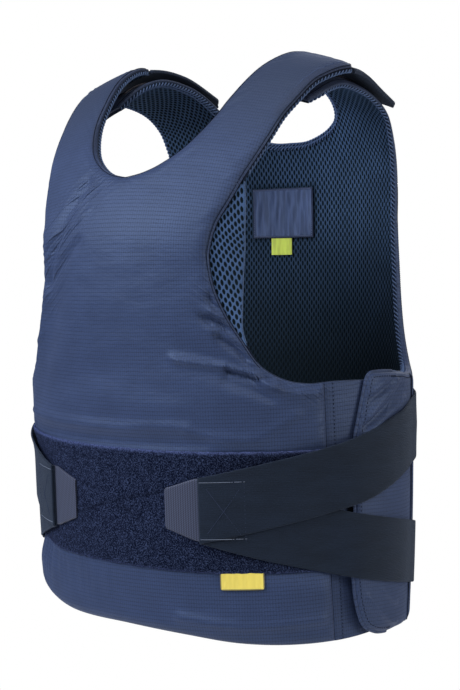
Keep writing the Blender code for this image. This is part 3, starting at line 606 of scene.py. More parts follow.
class Nodes:
    """Short words for building the nodes of one material."""

    def __init__(self, name: str) -> None:
        """Start a material with its Principled shader.

        Args:
            name: the material's name.
        """
        self.material = bpy.data.materials.new(name)
        self.material.use_nodes = True
        self.tree = self.material.node_tree
        self.shader = self.tree.nodes["Principled BSDF"]

    def add(self, kind: str, inputs: dict[str | int, object], **settings: object) -> bpy.types.Node:
        """Add a node, set it, and give its inputs a value or a link.

        Args:
            kind: the node's type.
            inputs: a value or a socket for each named or numbered input.
            settings: the node's own settings.

        Returns:
            The node.
        """
        node = self.tree.nodes.new(kind)
        for key, value in settings.items():
            setattr(node, key, value)
        for key, value in inputs.items():
            self.feed(node.inputs[key], value)
        return node

    def feed(self, socket: Socket, value: object) -> None:
        """Link a socket, or set it to a plain value.

        Args:
            socket: the input.
            value: another node's output, or a plain value.
        """
        if isinstance(value, Socket):
            self.tree.links.new(value, socket)
        else:
            socket.default_value = value

    def maths(self, operation: str, *values: object, clamp: bool = False) -> Socket:
        """The result of one sum on numbers or sockets."""
        return self.add("ShaderNodeMath", dict(enumerate(values)), operation=operation,
                        use_clamp=clamp).outputs[0]

    def on_pattern(self) -> tuple[Socket, Socket, Socket]:
        """The pattern place as a vector, and its s and v, in metres.

        Returns:
            The vector, s and v.
        """
        place = self.add("ShaderNodeUVMap", {}, uv_map="pattern").outputs[0]
        split = self.add("ShaderNodeSeparateXYZ", {0: place})
        return place, split.outputs[0], split.outputs[1]

    def in_space(self) -> Socket:
        """The place in space, in metres."""
        return self.add("ShaderNodeTexCoord", {}).outputs["Object"]

    def ribs(self, coordinate: object, pitch: float, sharpness: float) -> Socket:
        """Fine lines: half of 1 plus the cosine of the coordinate over the pitch, to a power."""
        wave = self.maths("COSINE", self.maths("MULTIPLY", coordinate, 2.0 * math.pi / pitch))
        return self.maths("POWER", self.maths("MULTIPLY_ADD", wave, 0.5, 0.5), sharpness)

    def noise(self, vector: object, scale: float, detail: float = 2.0, roughness: float = 0.5) -> Socket:
        """Soft noise about 0.5, with so many lumps to a metre."""
        return self.add("ShaderNodeTexNoise", {"Vector": vector, "Scale": scale, "Detail": detail,
                                               "Roughness": roughness}).outputs["Fac"]

    def mapped(self, vector: object, across: float, up: float, turn: float = 0.0) -> Socket:
        """The place scaled across and up, then turned by an angle."""
        return self.add("ShaderNodeMapping", {"Vector": vector, "Rotation": (0.0, 0.0, turn),
                                              "Scale": (across, up, 1.0)}).outputs[0]

    def streaks(self, vector: object, across: float, up: float, detail: float = 2.0,
                roughness: float = 0.5, turn: float = 0.0) -> Socket:
        """Soft noise with so many lumps to a metre across and so many up."""
        return self.noise(self.mapped(vector, across, up, turn), 1.0, detail, roughness)

    def named(self, attribute: str) -> Socket:
        """A number kept on the mesh."""
        return self.add("ShaderNodeAttribute", {}, attribute_name=attribute).outputs["Fac"]

    def blend(self, share: object, low: object, high: object) -> Socket:
        """A colour between two.

        Args:
            share: how much of the second colour.
            low: the first.
            high: the second.

        Returns:
            The mixed colour.
        """
        colours = {6: (*low, 1.0) if isinstance(low, tuple) else low,
                   7: (*high, 1.0) if isinstance(high, tuple) else high}
        return self.add("ShaderNodeMix", {0: share, **colours}, data_type="RGBA").outputs[2]

    def varied(self, share: object, colour: Colour, low: float, high: float) -> Socket:
        """A colour between two strengths of itself."""
        return self.blend(share, scaled(colour, low), scaled(colour, high))

    def between(self, value: object, low: float, high: float, out_low: float = 0.0,
                out_high: float = 1.0) -> Socket:
        """Carry a number smoothly from one range to another."""
        return self.add("ShaderNodeMapRange", {0: value, 1: low, 2: high, 3: out_low, 4: out_high},
                        interpolation_type="SMOOTHSTEP").outputs[0]

    def relief(self, height: object, distance: float, strength: float = 1.0) -> None:
        """Let a height between 0 and 1 stand up by a distance."""
        made = self.add("ShaderNodeBump", {"Height": height, "Distance": distance, "Strength": strength})
        self.feed(self.shader.inputs["Normal"], made.outputs[0])

    def surface(self, colour: object, roughness: object, specular: float, sheen: float = 0.0,
                sheen_roughness: float = 0.5, sheen_tint: Colour = WHITE, shine: Colour = WHITE,
                anisotropic: float = 0.0) -> bpy.types.Material:
        """Set the shader's own values.

        Args:
            colour: base colour or a socket.
            roughness: roughness or a socket.
            specular: strength of the plain reflection.
            sheen: weight of the fibres' sheen.
            sheen_roughness: how wide the sheen spreads.
            sheen_tint: its colour.
            shine: tint of the plain reflection.
            anisotropic: how far the shine is drawn out along the threads.

        Returns:
            The finished material.
        """
        inputs = self.shader.inputs
        self.feed(inputs["Base Color"], (*colour, 1.0) if isinstance(colour, tuple) else colour)
        self.feed(inputs["Roughness"], roughness)
        inputs["Specular IOR Level"].default_value = specular
        inputs["Sheen Weight"].default_value = sheen
        inputs["Sheen Roughness"].default_value = sheen_roughness
        inputs["Sheen Tint"].default_value = (*sheen_tint, 1.0)
        inputs["Anisotropic"].default_value = anisotropic
        inputs["Specular Tint"].default_value = (*shine, 1.0)
        return self.material


@dataclass(frozen=True)
class Ripstop:
    """Navy nylon with level ribs, finer upright ribs and a satin shine."""

    name: str = "ripstop"
    colour: Colour = (0.0295, 0.0485, 0.1240)
    rib_colour: Colour = (0.014, 0.021, 0.048)
    # Greyer, darker colour of the cloth over the straps: painted shade and sheen where the light grazes them
    strap_shade_colour: Colour = (0.027, 0.041, 0.090)
    trim: Colour = (0.014, 0.020, 0.044)
    level_pitch: float = 0.0036
    upright_pitch: float = 0.0024
    level_share: float = 0.50
    upright_share: float = 0.38
    strap_shade_v: Range = (0.45, 0.56)
    pull_turn: float = 0.70
    crease_turn: float = -0.35

    def make(self) -> bpy.types.Material:
        """Build the material: ribs and threads darken the colour and stand up in the relief.

        Returns:
            The material.
        """
        n = Nodes(self.name)
        place, s, v = n.on_pattern()
        level = n.maths("MULTIPLY", n.ribs(v, self.level_pitch, 7.0), self.level_share)
        upright = n.maths("MULTIPLY", n.ribs(s, self.upright_pitch, 4.0), self.upright_share)
        thread = n.streaks(place, 1500.0, 700.0)
        lines = n.maths("ADD", n.maths("ADD", level, upright), n.between(thread, 0.30, 0.75, -0.18, 0.38),
                        clamp=True)
        base = n.varied(n.between(n.noise(place, 38.0, 3.0), 0.3, 0.7), self.colour, 0.95, 1.09)
        # Painted shade and sheen: the cloth turns greyer and darker up the straps
        base = n.blend(n.between(v, *self.strap_shade_v), base, self.strap_shade_colour)
        edge = n.varied(n.between(thread, 0.35, 0.65), self.trim, 1.0, 2.2)
        colour = n.blend(n.named("trim"), n.blend(lines, base, self.rib_colour), edge)
        creases = n.streaks(place, 22.0, 48.0, 3.0, 0.55, self.crease_turn)
        half = n.add("ShaderNodeCombineXYZ", {0: n.maths("ABSOLUTE", s), 1: v}).outputs[0]
        pulls = n.streaks(n.mapped(half, 1.0, 1.0, self.pull_turn), 22.0, 140.0, 1.0)
        ridge = n.between(n.maths("ABSOLUTE", n.maths("SUBTRACT", pulls, 0.5)), 0.0, 0.12, 0.75, 0.0)
        height = n.maths("MULTIPLY_ADD", lines, -0.06, n.maths("MULTIPLY", creases, 0.80))
        n.relief(n.maths("MULTIPLY_ADD", n.named("pull"), ridge, height), 0.0020, 0.8)
        return n.surface(colour, n.between(lines, 0.0, 0.8, 0.50, 0.60), 0.42, 0.14, 0.45,
                         (0.40, 0.55, 1.0), (0.46, 0.64, 1.0), anisotropic=0.15)


@dataclass(frozen=True)
class SpacerMesh:
    """Open spacer mesh: blue strands round holes painted near black, as shade in the pits over the mesh's own
    dark inner layer.
    """

    name: str = "spacer_mesh"
    colour: Colour = (0.040, 0.078, 0.170)
    # Near black of the holes and of the mesh furthest inside: painted shade
    shade_colour: Colour = (0.0008, 0.0022, 0.0046)

    def make(self) -> bpy.types.Material:
        """Build the material: the mesh's own numbers paint shade into its holes and onto the parts that lie
        furthest inside.

        Returns:
            The material.
        """
        n = Nodes(self.name)
        place = n.in_space()
        fibre = n.noise(place, 1500.0)
        strand = n.varied(n.between(n.noise(place, 30.0), 0.3, 0.7), self.colour, 0.85, 1.12)
        strand = n.blend(n.between(fibre, 0.35, 0.7, 0.0, 0.35), strand, scaled(self.colour, 0.5))
        # Painted shade over the strands where the back's mesh lies furthest inside
        strand = n.blend(n.named("painted_shade"), strand, self.shade_colour)
        # Holes darkened by their depth: painted shade in the pits, over the mesh's own dark inner layer
        colour = n.blend(n.between(n.named("depth"), HOLE_RIM_DEPTH + 0.002, 0.30), strand, self.shade_colour)
        n.relief(fibre, 0.0004, 0.6)
        return n.surface(colour, 0.7, 0.20, 0.06, 0.4, (0.4, 0.7, 1.0), (0.42, 0.72, 1.0))


@dataclass(frozen=True)
class DarkCloth:
    """Plain cloth of one colour: dark cloth inside the mesh, thread, braid or piping."""

    name: str
    colour: Colour
    roughness: float = 0.7
    sheen: float = 0.2
    grain: float = 900.0

    def make(self) -> bpy.types.Material:
        """Build the material: fine noise varies the colour and the relief.

        Returns:
            The material.
        """
        n = Nodes(self.name)
        grain = n.noise(n.in_space(), self.grain)
        n.relief(grain, 0.0003, 0.5)
        return n.surface(n.varied(n.between(grain, 0.3, 0.7), self.colour, 0.75, 1.25), self.roughness, 0.2,
                         self.sheen, 0.5, (0.5, 0.65, 1.0), (0.5, 0.68, 1.0))


@dataclass(frozen=True)
class Thread(DarkCloth):
    """Sewing thread: the same finish with a finer grain and little sheen."""

    sheen: float = 0.1
    grain: float = 2500.0


@dataclass(frozen=True)
class LoopPile:
    """Velour of tiny loops, nearly black between them."""

    name: str = "loop_pile"
    colour: Colour = (0.0010, 0.0022, 0.0100)
    tip: Colour = (0.0310, 0.0460, 0.1080)
    edge: Colour = (0.060, 0.085, 0.220)

    def make(self) -> bpy.types.Material:
        """Build the material: two sizes of noise pick out the tips of the loops, and the creases get painted
        shade.

        Returns:
            The material.
        """
        n = Nodes(self.name)
        place = n.in_space()
        fine = n.noise(place, 930.0, 1.0, 0.6)
        height = n.maths("MULTIPLY_ADD", fine, 0.8, n.maths("MULTIPLY", n.noise(place, 210.0, 2.0, 0.6), 0.2))
        colour = n.blend(n.between(height, 0.43, 0.68), self.colour, self.tip)
        border = n.maths("MULTIPLY", n.named("border"), n.between(fine, 0.35, 0.60, 0.35, 1.0))
        colour = n.blend(border, colour, self.edge)
        # Painted shade: the pile is darkened along its creases
        colour = n.blend(n.maths("MULTIPLY", n.named("crease"), 0.45), colour, scaled(self.colour, 0.4))
        n.relief(height, 0.0012, 0.8)
        return n.surface(colour, 0.92, 0.06, 0.06, 0.6, (0.35, 0.45, 1.0), (0.4, 0.6, 1.0))


@dataclass(frozen=True)
class Elastic:
    """Black knitted elastic with fine ribs along its length and finer ones across."""

    name: str = "elastic"
    colour: Colour = (0.0062, 0.0112, 0.0245)
    along_pitch: float = 0.0016
    across_pitch: float = 0.0011

    def make(self) -> bpy.types.Material:
        """Build the material from its two sets of ribs, a soft cloud and specks.

        Returns:
            The material.
        """
        n = Nodes(self.name)
        place, s, v = n.on_pattern()
        columns = n.maths("MULTIPLY", n.ribs(s, self.across_pitch, 1.5), 0.4)
        knit = n.maths("MULTIPLY_ADD", n.ribs(v, self.along_pitch, 1.5), 0.6, columns)
        cloud = n.between(n.streaks(place, 30.0, 90.0, 3.0), 0.3, 0.7, 0.20, 0.45)
        speck = n.between(n.streaks(place, 1100.0, 900.0, 1.0), 0.35, 0.70, 0.0, 0.50)
        tone = n.maths("ADD", n.maths("MULTIPLY_ADD", knit, -0.35, cloud), speck, clamp=True)
        n.relief(knit, 0.0003, 0.7)
        return n.surface(n.varied(tone, self.colour, 0.6, 1.7), 0.78, 0.22, 0.16, 0.5,
                         (0.5, 0.65, 1.0), (0.6, 0.75, 1.0))


@dataclass(frozen=True)
class HookPlastic:
    """Grey moulded hooks in fine upright rows."""

    name: str = "hook_plastic"
    colour: Colour = (0.038, 0.047, 0.088)
    pitch: float = 0.0024
    slant: float = 0.5
    level_pitch_share: float = 0.72

    def make(self) -> bpy.types.Material:
        """Build the material from upright ribs and slanted breaks in them.

        Returns:
            The material.
        """
        n = Nodes(self.name)
        _, s, v = n.on_pattern()
        breaks = n.ribs(n.maths("MULTIPLY_ADD", s, self.slant, v), self.pitch * self.level_pitch_share, 1.0)
        grid = n.maths("MULTIPLY_ADD", n.ribs(s, self.pitch, 1.0), 0.5, n.maths("MULTIPLY", breaks, 0.5))
        n.relief(grid, 0.0004, -0.6)
        return n.surface(n.varied(grid, self.colour, 1.75, 0.30), 0.5, 0.3, 0.1, 0.5,
                         (0.7, 0.8, 1.0), (0.7, 0.8, 1.0))


@dataclass(frozen=True)
class Satin:
    """Woven satin of a label, with a soft shine."""

    name: str
    colour: Colour
    border: Colour | None = None
    # Swing of the colour in upright streaks: painted sheen and shade of the satin's small waves
    streaks: float = 0.15
    shine: Colour = WHITE

    def make(self) -> bpy.types.Material:
        """Build the material: fine threads, upright streaks of painted sheen and shade, and a darker border
        where the mesh's own number is high, which on the yellow tag is a painted shadow round its edge.

        Returns:
            The material.
        """
        n = Nodes(self.name)
        place, _, v = n.on_pattern()
        thread = n.ribs(v, 0.0007, 1.0)
        cloud = n.between(n.streaks(place, 260.0, 30.0, 3.0), 0.35, 0.65, 0.0, 0.8)
        tone = n.maths("MULTIPLY_ADD", thread, 0.2, cloud, clamp=True)
        # Upright streaks of painted sheen and shade
        colour = n.varied(tone, self.colour, 1.0 - self.streaks, 1.0 + self.streaks)
        if self.border is not None:
            colour = n.blend(n.between(n.named("border"), 0.4, 0.6), colour, self.border)
        n.relief(thread, 0.00015, 0.5)
        return n.surface(colour, 0.45, 0.35, 0.1, 0.4, WHITE, self.shine)


def cut_lines(rows: Rows, steps: int) -> Array:
    """The upright lines of a body with more in between, with a corner where its armhole starts."""
    roof = smooth_rows(rows[:ROOF_LINES + 1], steps)
    return np.concatenate([roof[:-1], smooth_rows(rows[ROOF_LINES:], steps)])


def crowded(count: int, share: float = 0.45) -> Array:
    """Portions from 0 to 1 that lie closer together near both ends."""
    t = np.linspace(0.0, 1.0, count)
    return (1.0 - share) * t + share * (0.5 - 0.5 * np.cos(np.pi * t))


def outline_of(low: Array, high: Array, strap: Array) -> Array:
    """Outline of a right half: hem, side, armhole, strap end and neck, as one line of points."""
    roof = int(np.argmin(np.abs(high - strap[0, 2:4]).sum(axis=1)))
    return np.concatenate([low, high[:roof:-1], strap[:, 2:4], strap[::-1, 0:2]])


def closest(points: Array, line: Array) -> tuple[Array, Array]:
    """The nearest place on a line of points to each of some places, and its distance, in blocks.

    Args:
        points: places on the pattern.
        line: the line's points.

    Returns:
        The nearest places and the distances.
    """
    start, step = line[:-1], np.diff(line, axis=0)
    size = np.maximum((step * step).sum(-1), TINY)
    places, gaps = [], []
    for part in np.array_split(points, max(1, len(points) // 3000)):
        share = np.clip(((part[:, None] - start) * step).sum(-1) / size, 0.0, 1.0)
        at = start + share[..., None] * step
        gap = np.linalg.norm(part[:, None] - at, axis=-1)
        best = gap.argmin(axis=1)
        places.append(at[np.arange(len(part)), best])
        gaps.append(gap[np.arange(len(part)), best])
    return np.concatenate(places), np.concatenate(gaps)


def distance_to(points: Array, line: ArrayLike) -> Array:
    """Distance from each place on the pattern to a line of points."""
    return closest(points, np.asarray(line))[1]


def within(points: Array, line: Array) -> NDArray[np.bool_]:
    """Which places lie inside a closed outline, by how often a level ray crosses it, in blocks.

    Args:
        points: places on the pattern.
        line: the outline.

    Returns:
        Whether each place is inside.
    """
    a, b = line, np.roll(line, -1, axis=0)
    rise = np.where(np.abs(b[:, 1] - a[:, 1]) < TINY, TINY, b[:, 1] - a[:, 1])
    lean = (b[:, 0] - a[:, 0]) / rise
    found = []
    for part in np.array_split(points, 12):
        x, y = part[:, :1], part[:, 1:]
        spans = (a[:, 1] > y) != (b[:, 1] > y)
        found.append((spans & (x < a[:, 0] + (y - a[:, 1]) * lean)).sum(axis=1) % 2 == 1)
    return np.concatenate(found)


def right_half(points: Array) -> Array:
    """The same pattern places, those of the left half carried over to the right."""
    return np.stack([np.abs(points[:, 0]), points[:, 1]], axis=1)


def quarter_round(distance: Array, reach: float) -> Array:
    """Rise from 0 at an edge to 1 at a reach from it, as a quarter of a circle."""
    t = np.clip(distance / reach, 0.0, 1.0)
    return np.sqrt(1.0 - (1.0 - t) ** 2)


@dataclass
class Body:
    """The two forms and the layers on them: how far out each cloth lies at a place on the pattern."""

    lining: float = 0.0030
    chest_pad: float = 0.0085
    strap_pad: float = 0.0045
    wing: float = 0.0062
    flap: float = 0.0028
    seam: float = 0.0025
    layer_gap: float = 0.0003
    skin_gap: float = 0.0006
    pillow_reach: float = 0.0115
    thin_v: Range = (0.440, 0.540)
    fold_fade: float = 0.008
    wing_fade: float = 0.009
    side_seam: float = 0.004
    side_seam_top: float = 0.300
    steps: int = 6
    front: Form = field(init=False)
    back: Form = field(init=False)
    front_lines: Array = field(init=False)
    back_lines: Array = field(init=False)
    front_strap: Array = field(init=False)
    back_strap: Array = field(init=False)
    front_edge: Array = field(init=False)
    back_edge: Array = field(init=False)

    def __post_init__(self) -> None:
        """Work out the forms and the smooth outlines."""
        self.front, self.back = Form(FRONT_FORM, True), Form(BACK_FORM, False)
        self.front_lines = cut_lines(FRONT_BODY, self.steps)
        self.back_lines = cut_lines(BACK_BODY, self.steps)
        self.front_strap = smooth_rows(FRONT_STRAP, self.steps + 4)
        self.back_strap = smooth_rows(BACK_STRAP, self.steps + 2)
        pad = self.front_lines[self.front_lines[:, 0] <= SEAM_S + CLOSE]
        low = np.stack([pad[:, 0], self.hem(pad[:, 0])], axis=1)
        self.front_edge = outline_of(low, pad[:, 1:3], self.front_strap)
        self.back_edge = outline_of(self.back_lines[:, 0:2], self.back_lines[:, 2:4], self.back_strap)

    def hem(self, s: ArrayLike) -> Array:
        """Height of the front's hem on the pattern."""
        return smooth_through(*np.array(FRONT_HEM).T, s)

    def wing_inner(self, s: ArrayLike) -> Array:
        """Distance outwards of the inner side of the back's cloth."""
        return smooth_through(*np.array(WING_PATH).T, np.abs(s))

    def edge_w(self) -> float:
        """Distance outwards of the middle of the front's seamed edge."""
        return self.lining + self.layer_gap + self.seam * 0.5

    def full_pad(self, v: ArrayLike) -> Array:
        """Thickness of a pad away from its edges, which is less over the shoulder."""
        share = ease(v, *self.thin_v)
        return self.chest_pad * (1.0 - share) + self.strap_pad * share

    def pillow(self, distance: Array, full: Array) -> Array:
        """Thickness that rises in a quarter round from a seamed edge to the full pad."""
        return self.seam + (full - self.seam) * quarter_round(distance, self.pillow_reach)

    def front_outer(self, points: Array) -> Array:
        """Outer side of the front: the pad with its folds, its seam, and the thin flap beyond it.

        Args:
            points: places on the pattern.

        Returns:
            The distance outwards at each.
        """
        half = right_half(points)
        over_hem = np.abs(points[:, 1] - self.hem(points[:, 0]))
        depth_in = np.minimum(distance_to(half, self.front_edge), over_hem)
        inside = half[:, 0] <= SEAM_S + CLOSE
        thick = np.where(inside, self.pillow(depth_in, self.full_pad(points[:, 1])), self.flap)
        relief = folded(points, FRONT_FOLDS) + creased(points, FRONT_CREASES) + puckers(points, depth_in)
        relief = relief - cinched(points)
        return self.lining + self.layer_gap + thick + relief * ease(depth_in, 0.0, self.fold_fade) * inside

    def back_outer(self, points: Array) -> Array:
        """Outer side of the back: the pad, the seam at its side, and the softer wing beyond.

        Args:
            points: places on the pattern.

        Returns:
            The distance outwards at each.
        """
        half = right_half(points)
        edge_in = distance_to(half, self.back_edge)
        seam_in = np.abs(half[:, 0] - BACK_PAD_S) + self.side_seam
        depth_in = np.where(half[:, 1] < self.side_seam_top, np.minimum(edge_in, seam_in), edge_in)
        full = np.where(half[:, 0] <= BACK_PAD_S, self.full_pad(points[:, 1]), self.wing)
        relief = folded(points, BACK_FOLDS) + creased(half, BACK_CREASES)
        relief = relief * ease(edge_in, 0.0, self.wing_fade)
        return self.wing_inner(points[:, 0]) + self.pillow(depth_in, full) + relief


# Soft folds of the front: s and v of the middle, turn in degrees from level, half length, half width,
# height of the ridge or depth of the dip
FRONT_FOLDS: Rows = [
    (0.125, 0.235, -12.0, 0.060, 0.014, 0.0018), (0.110, 0.262, -25.0, 0.045, 0.013, -0.0020),
    (0.060, 0.222, -4.0, 0.090, 0.014, 0.0015), (-0.085, 0.300, 62.0, 0.070, 0.016, -0.0022),
    (-0.105, 0.350, 70.0, 0.055, 0.015, 0.0018), (-0.060, 0.245, 15.0, 0.060, 0.014, -0.0014),
    (0.120, 0.028, 4.0, 0.070, 0.012, 0.0014),
]
BACK_FOLDS: Rows = [
    (0.235, 0.215, 20.0, 0.050, 0.010, 0.0008), (-0.235, 0.215, -20.0, 0.050, 0.010, 0.0008),
]


def folded(points: Array, rows: Rows) -> Array:
    """Sum of soft folds: each is a bell across its line that fades out along it.

    Args:
        points: places on the pattern.
        rows: the table of folds.

    Returns:
        The height at each place.
    """
    s, v, turn, half_length, half_width, height = (c[None] for c in np.array(rows).T)
    angle = np.radians(turn)
    ds, dv = points[:, :1] - s, points[:, 1:] - v
    along = (ds * np.cos(angle) + dv * np.sin(angle)) / half_length
    across = (dv * np.cos(angle) - ds * np.sin(angle)) / half_width
    return FOLD_STRENGTH * (height * np.exp(-along ** 2 - across ** 2)).sum(axis=1)


def laid(form: Form, line: Array, w: ArrayLike) -> tuple[Array, Array]:
    """A line of pattern places on a form, and the outward direction at each of its points."""
    path = form.place(*line.T, w)
    return path, form.place(*line.T, np.asarray(w) + 1.0) - path


def laid_evenly(form: Form, line: Array, w: ArrayLike, spacing: float) -> tuple[Array, Array, Array]:
    """Lay a line on a form with its points evenly spaced.

    Args:
        form: the form.
        line: places on the pattern.
        w: distance outwards, for all or for each place.
        spacing: distance between the points.

    Returns:
        The even places on the pattern, their points in space and the outward directions there.
    """
    even = evenly(np.column_stack([line, np.broadcast_to(w, len(line))]), spacing)
    return even[:, :2], *laid(form, even[:, :2], even[:, 2])


def flipped(line: Array) -> Array:
    """The same line on the other half of the pattern."""
    return line * [-1.0, 1.0]


def rectangle(s_range: tuple[float, float], v_range: tuple[float, float], columns: int, rows: int,
              corner: float = 0.0) -> Pattern:
    """A cut between two upright and two level sides, whose two lower corners can be rounded.

    Args:
        s_range: its two upright sides.
        v_range: its lower and upper side.
        columns: points across.
        rows: points up.
        corner: radius of the two lower corners.

    Returns:
        The cut.
    """
    s = np.linspace(*s_range, columns)
    near = np.clip(corner - np.minimum(s - s_range[0], s_range[1] - s), 0.0, corner)
    low = np.stack([s, v_range[0] + corner - np.sqrt(corner ** 2 - near ** 2)], axis=1)
    high = np.stack([s, np.full(columns, v_range[1])], axis=1)
    return Pattern([ruled(low, high, np.linspace(0.0, 1.0, rows))])


def softened(count: tuple[int, int], seed: int, passes: int) -> Array:
    """Even random numbers on a grid, smoothed with their neighbours, spread about 0 by about 1.

    Args:
        count: rows and columns.
        seed: start of the random numbers.
        passes: how often they are smoothed.

    Returns:
        The numbers.
    """
    grid = np.random.default_rng(seed).normal(size=count)
    for _ in range(passes):
        grid = (2.0 * grid + np.roll(grid, 1, 0) + np.roll(grid, -1, 0)
                + np.roll(grid, 1, 1) + np.roll(grid, -1, 1)) / 6.0
    return grid / max(float(grid.std()), 1e-9)


# Sharper creases of the front: height or depth in metres, half width, then the line's s and v in turn
FRONT_CREASES: Lines = [
    (-0.0022, 0.0085, [(-0.045, 0.430), (-0.068, 0.385), (-0.090, 0.338)]),
    (0.0008, 0.0028, [(-0.030, 0.428), (-0.056, 0.402), (-0.088, 0.372)]),
    (0.0007, 0.0026, [(-0.030, 0.402), (-0.056, 0.384), (-0.086, 0.350)]),
    (-0.0014, 0.0060, [(-0.040, 0.374), (-0.088, 0.334)]),
    (0.0010, 0.0030, [(-0.075, 0.354), (-0.096, 0.318)]),
    (0.0012, 0.0040, [(-0.120, 0.300), (-0.150, 0.290)]),
    (0.0010, 0.0035, [(-0.110, 0.283), (-0.145, 0.272)]),
    (-0.0031, 0.0042, [(0.101, 0.322), (0.118, 0.304)]),
    (-0.0032, 0.0046, [(0.096, 0.304), (0.122, 0.290)]),
    (-0.0031, 0.0046, [(0.108, 0.286), (0.131, 0.267)]),
    (0.0009, 0.0035, [(0.096, 0.311), (0.114, 0.302)]),
    (0.0009, 0.0035, [(0.100, 0.292), (0.120, 0.282)]),
    (0.0026, 0.0040, [(0.066, 0.268), (0.110, 0.260), (0.135, 0.251), (0.156, 0.238)]),
    (-0.0034, 0.0034, [(0.114, 0.2550), (0.136, 0.2475), (0.150, 0.2465)]),
    (-0.0016, 0.0050, [(0.112, 0.247), (0.134, 0.238), (0.150, 0.229)]),
    (0.0015, 0.0042, [(0.146, 0.245), (0.167, 0.2335), (0.196, 0.2300)]),
    (0.0011, 0.0042, [(0.075, 0.201), (0.118, 0.193), (0.135, 0.193), (0.155, 0.204), (0.170, 0.214)]),
    (0.0014, 0.0055, [(-0.150, 0.206), (0.010, 0.2035), (0.045, 0.206), (0.078, 0.205)]),
    (-0.0012, 0.0070, [(-0.150, 0.192), (0.010, 0.190), (0.090, 0.190)]),
    (0.0012, 0.0060, [(0.060, 0.030), (0.120, 0.022), (0.185, 0.024)]),
]


# Creases of the back's wings, same columns
BACK_CREASES: Lines = [
    (0.0018, 0.0038, [(0.296, 0.212), (0.274, 0.230), (0.250, 0.246)]),
    (0.0016, 0.0036, [(0.298, 0.196), (0.270, 0.214), (0.236, 0.228)]),
    (-0.0015, 0.0036, [(0.296, 0.204), (0.270, 0.2220), (0.242, 0.237)]),
    (0.0010, 0.0030, [(0.292, 0.234), (0.278, 0.242), (0.262, 0.248)]),
    (-0.0010, 0.0030, [(0.292, 0.228), (0.276, 0.236), (0.260, 0.242)]),
    (0.0010, 0.0040, [(0.288, 0.040), (0.270, 0.024), (0.243, 0.012)]),
    (0.0008, 0.0040, [(0.268, 0.046), (0.245, 0.033)]),
]


# Where fine pulls gather in the cloth: their strength, how far they reach, then a line's s and v in turn
FRONT_PULLS: Lines = [
    (1.0, 0.020, [(-0.036, 0.428), (-0.068, 0.388), (-0.098, 0.332)]),
    (0.7, 0.012, [(-0.106, 0.345), (-0.128, 0.300), (-0.150, 0.268)]),
    (0.8, 0.013, [(0.104, 0.330), (0.112, 0.302), (0.140, 0.262)]),
    (0.8, 0.009, [(0.140, 0.250), (0.188, 0.232)]),
]
BACK_PULLS: Lines = [(0.35, 0.018, [(0.292, 0.214), (0.250, 0.236)])]
# Lines along which the loop field is creased and darkened with painted shade
LOOP_CREASES: list[Rows] = [[(-0.052, 0.119), (-0.003, 0.134), (0.057, 0.147)],
                            [(-0.003, 0.132), (0.016, 0.124)]]


def near_lines(points: Array, rows: Lines) -> Array:
    """How near each place is to the nearest of a few lines, each with its own strength and reach."""
    return np.max([most * bump(distance_to(points, line), 0.0, reach) for most, reach, line in rows], axis=0)


def creased(points: Array, rows: Lines) -> Array:
    """Sum of the creases: each falls away from its line as a bell."""
    return sum(CREASE_STRENGTH * height * bump(distance_to(points, line), 0.0, CREASE_SPREAD * half_width)
               for height, half_width, line in rows)


def wavy(place: Array, length: float, swing: float, share: float, start: float = 0.0) -> Array:
    """Waves of a length whose phase swings, so that no two are alike: sin(t + swing·sin(share·t + start))."""
    t = place * 2.0 * np.pi / length
    return np.sin(t + swing * np.sin(t * share + start))


def puckers(points: Array, depth_in: Array) -> Array:
    """Small waves that seams draw into the cloth beside them, and gathers under the loop field.

    Args:
        points: places on the pattern.
        depth_in: distance of each from the pad's edge.

    Returns:
        The height at each place.
    """
    s, v = points.T
    beside = wavy(np.abs(s) - v, *PUCKER_WAVES) * bump(depth_in, *PUCKER_DEPTH) * (v > PUCKERS_ABOVE)
    gather = wavy(s, *GATHER_WAVES) * ease(v, *GATHER_V) * (1.0 - ease(s, *GATHER_S)) * (v < GATHERS_BELOW)
    return PUCKER_HEIGHT * beside + GATHER_HEIGHT * gather


def cinched(points: Array) -> Array:
    """Depth to which the taut bands press the front's pad on both sides."""
    s, v = right_half(points).T
    return CINCH_DEPTH * ease(s, *CINCH_S) * ease(v, *CINCH_LOW) * (1.0 - ease(v, *CINCH_HIGH))


class Side(Enum):
    """The wearer's two sides: the word in a piece's name, and the sign of x there."""

    LEFT = ("left", 1.0)
    RIGHT = ("right", -1.0)

    @property
    def word(self) -> str:
        """The side's word."""
        return self.value[0]

    @property
    def sign(self) -> float:
        """The sign of x on this side."""
        return self.value[1]


class Held(Enum):
    """How a sheet of cloth is held."""

    LAID = "laid"
    STRETCHED = "stretched"


def finished(piece: bpy.types.Object, slot: str, *nodes: str) -> bpy.types.Object:
    """Attach a piece to the root, hide the solids that it stands for, and log it.

    Args:
        piece: the piece.
        slot: not used.
        nodes: the solids it stands for.

    Returns:
        The same piece.
    """
    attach(piece, "root")
    if nodes:
        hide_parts(*nodes)
    LOG.info("%s: %d faces", piece.name, len(piece.data.polygons))
    return piece


def finished_parts(name: str, parts: list[Part], finish: Material, slot: str,
                   pattern: Array | None = None) -> bpy.types.Object:
    """Put several cords or rows of stitches into the scene as one finished piece.

    Args:
        name: the piece's name.
        parts: points and faces of each.
        finish: its material.
        slot: not used.
        pattern: each point's place on the pattern.

    Returns:
        The piece.
    """
    points, faces = joined(parts)
    return finished(make_piece(name, points, faces, finish, pattern), slot)


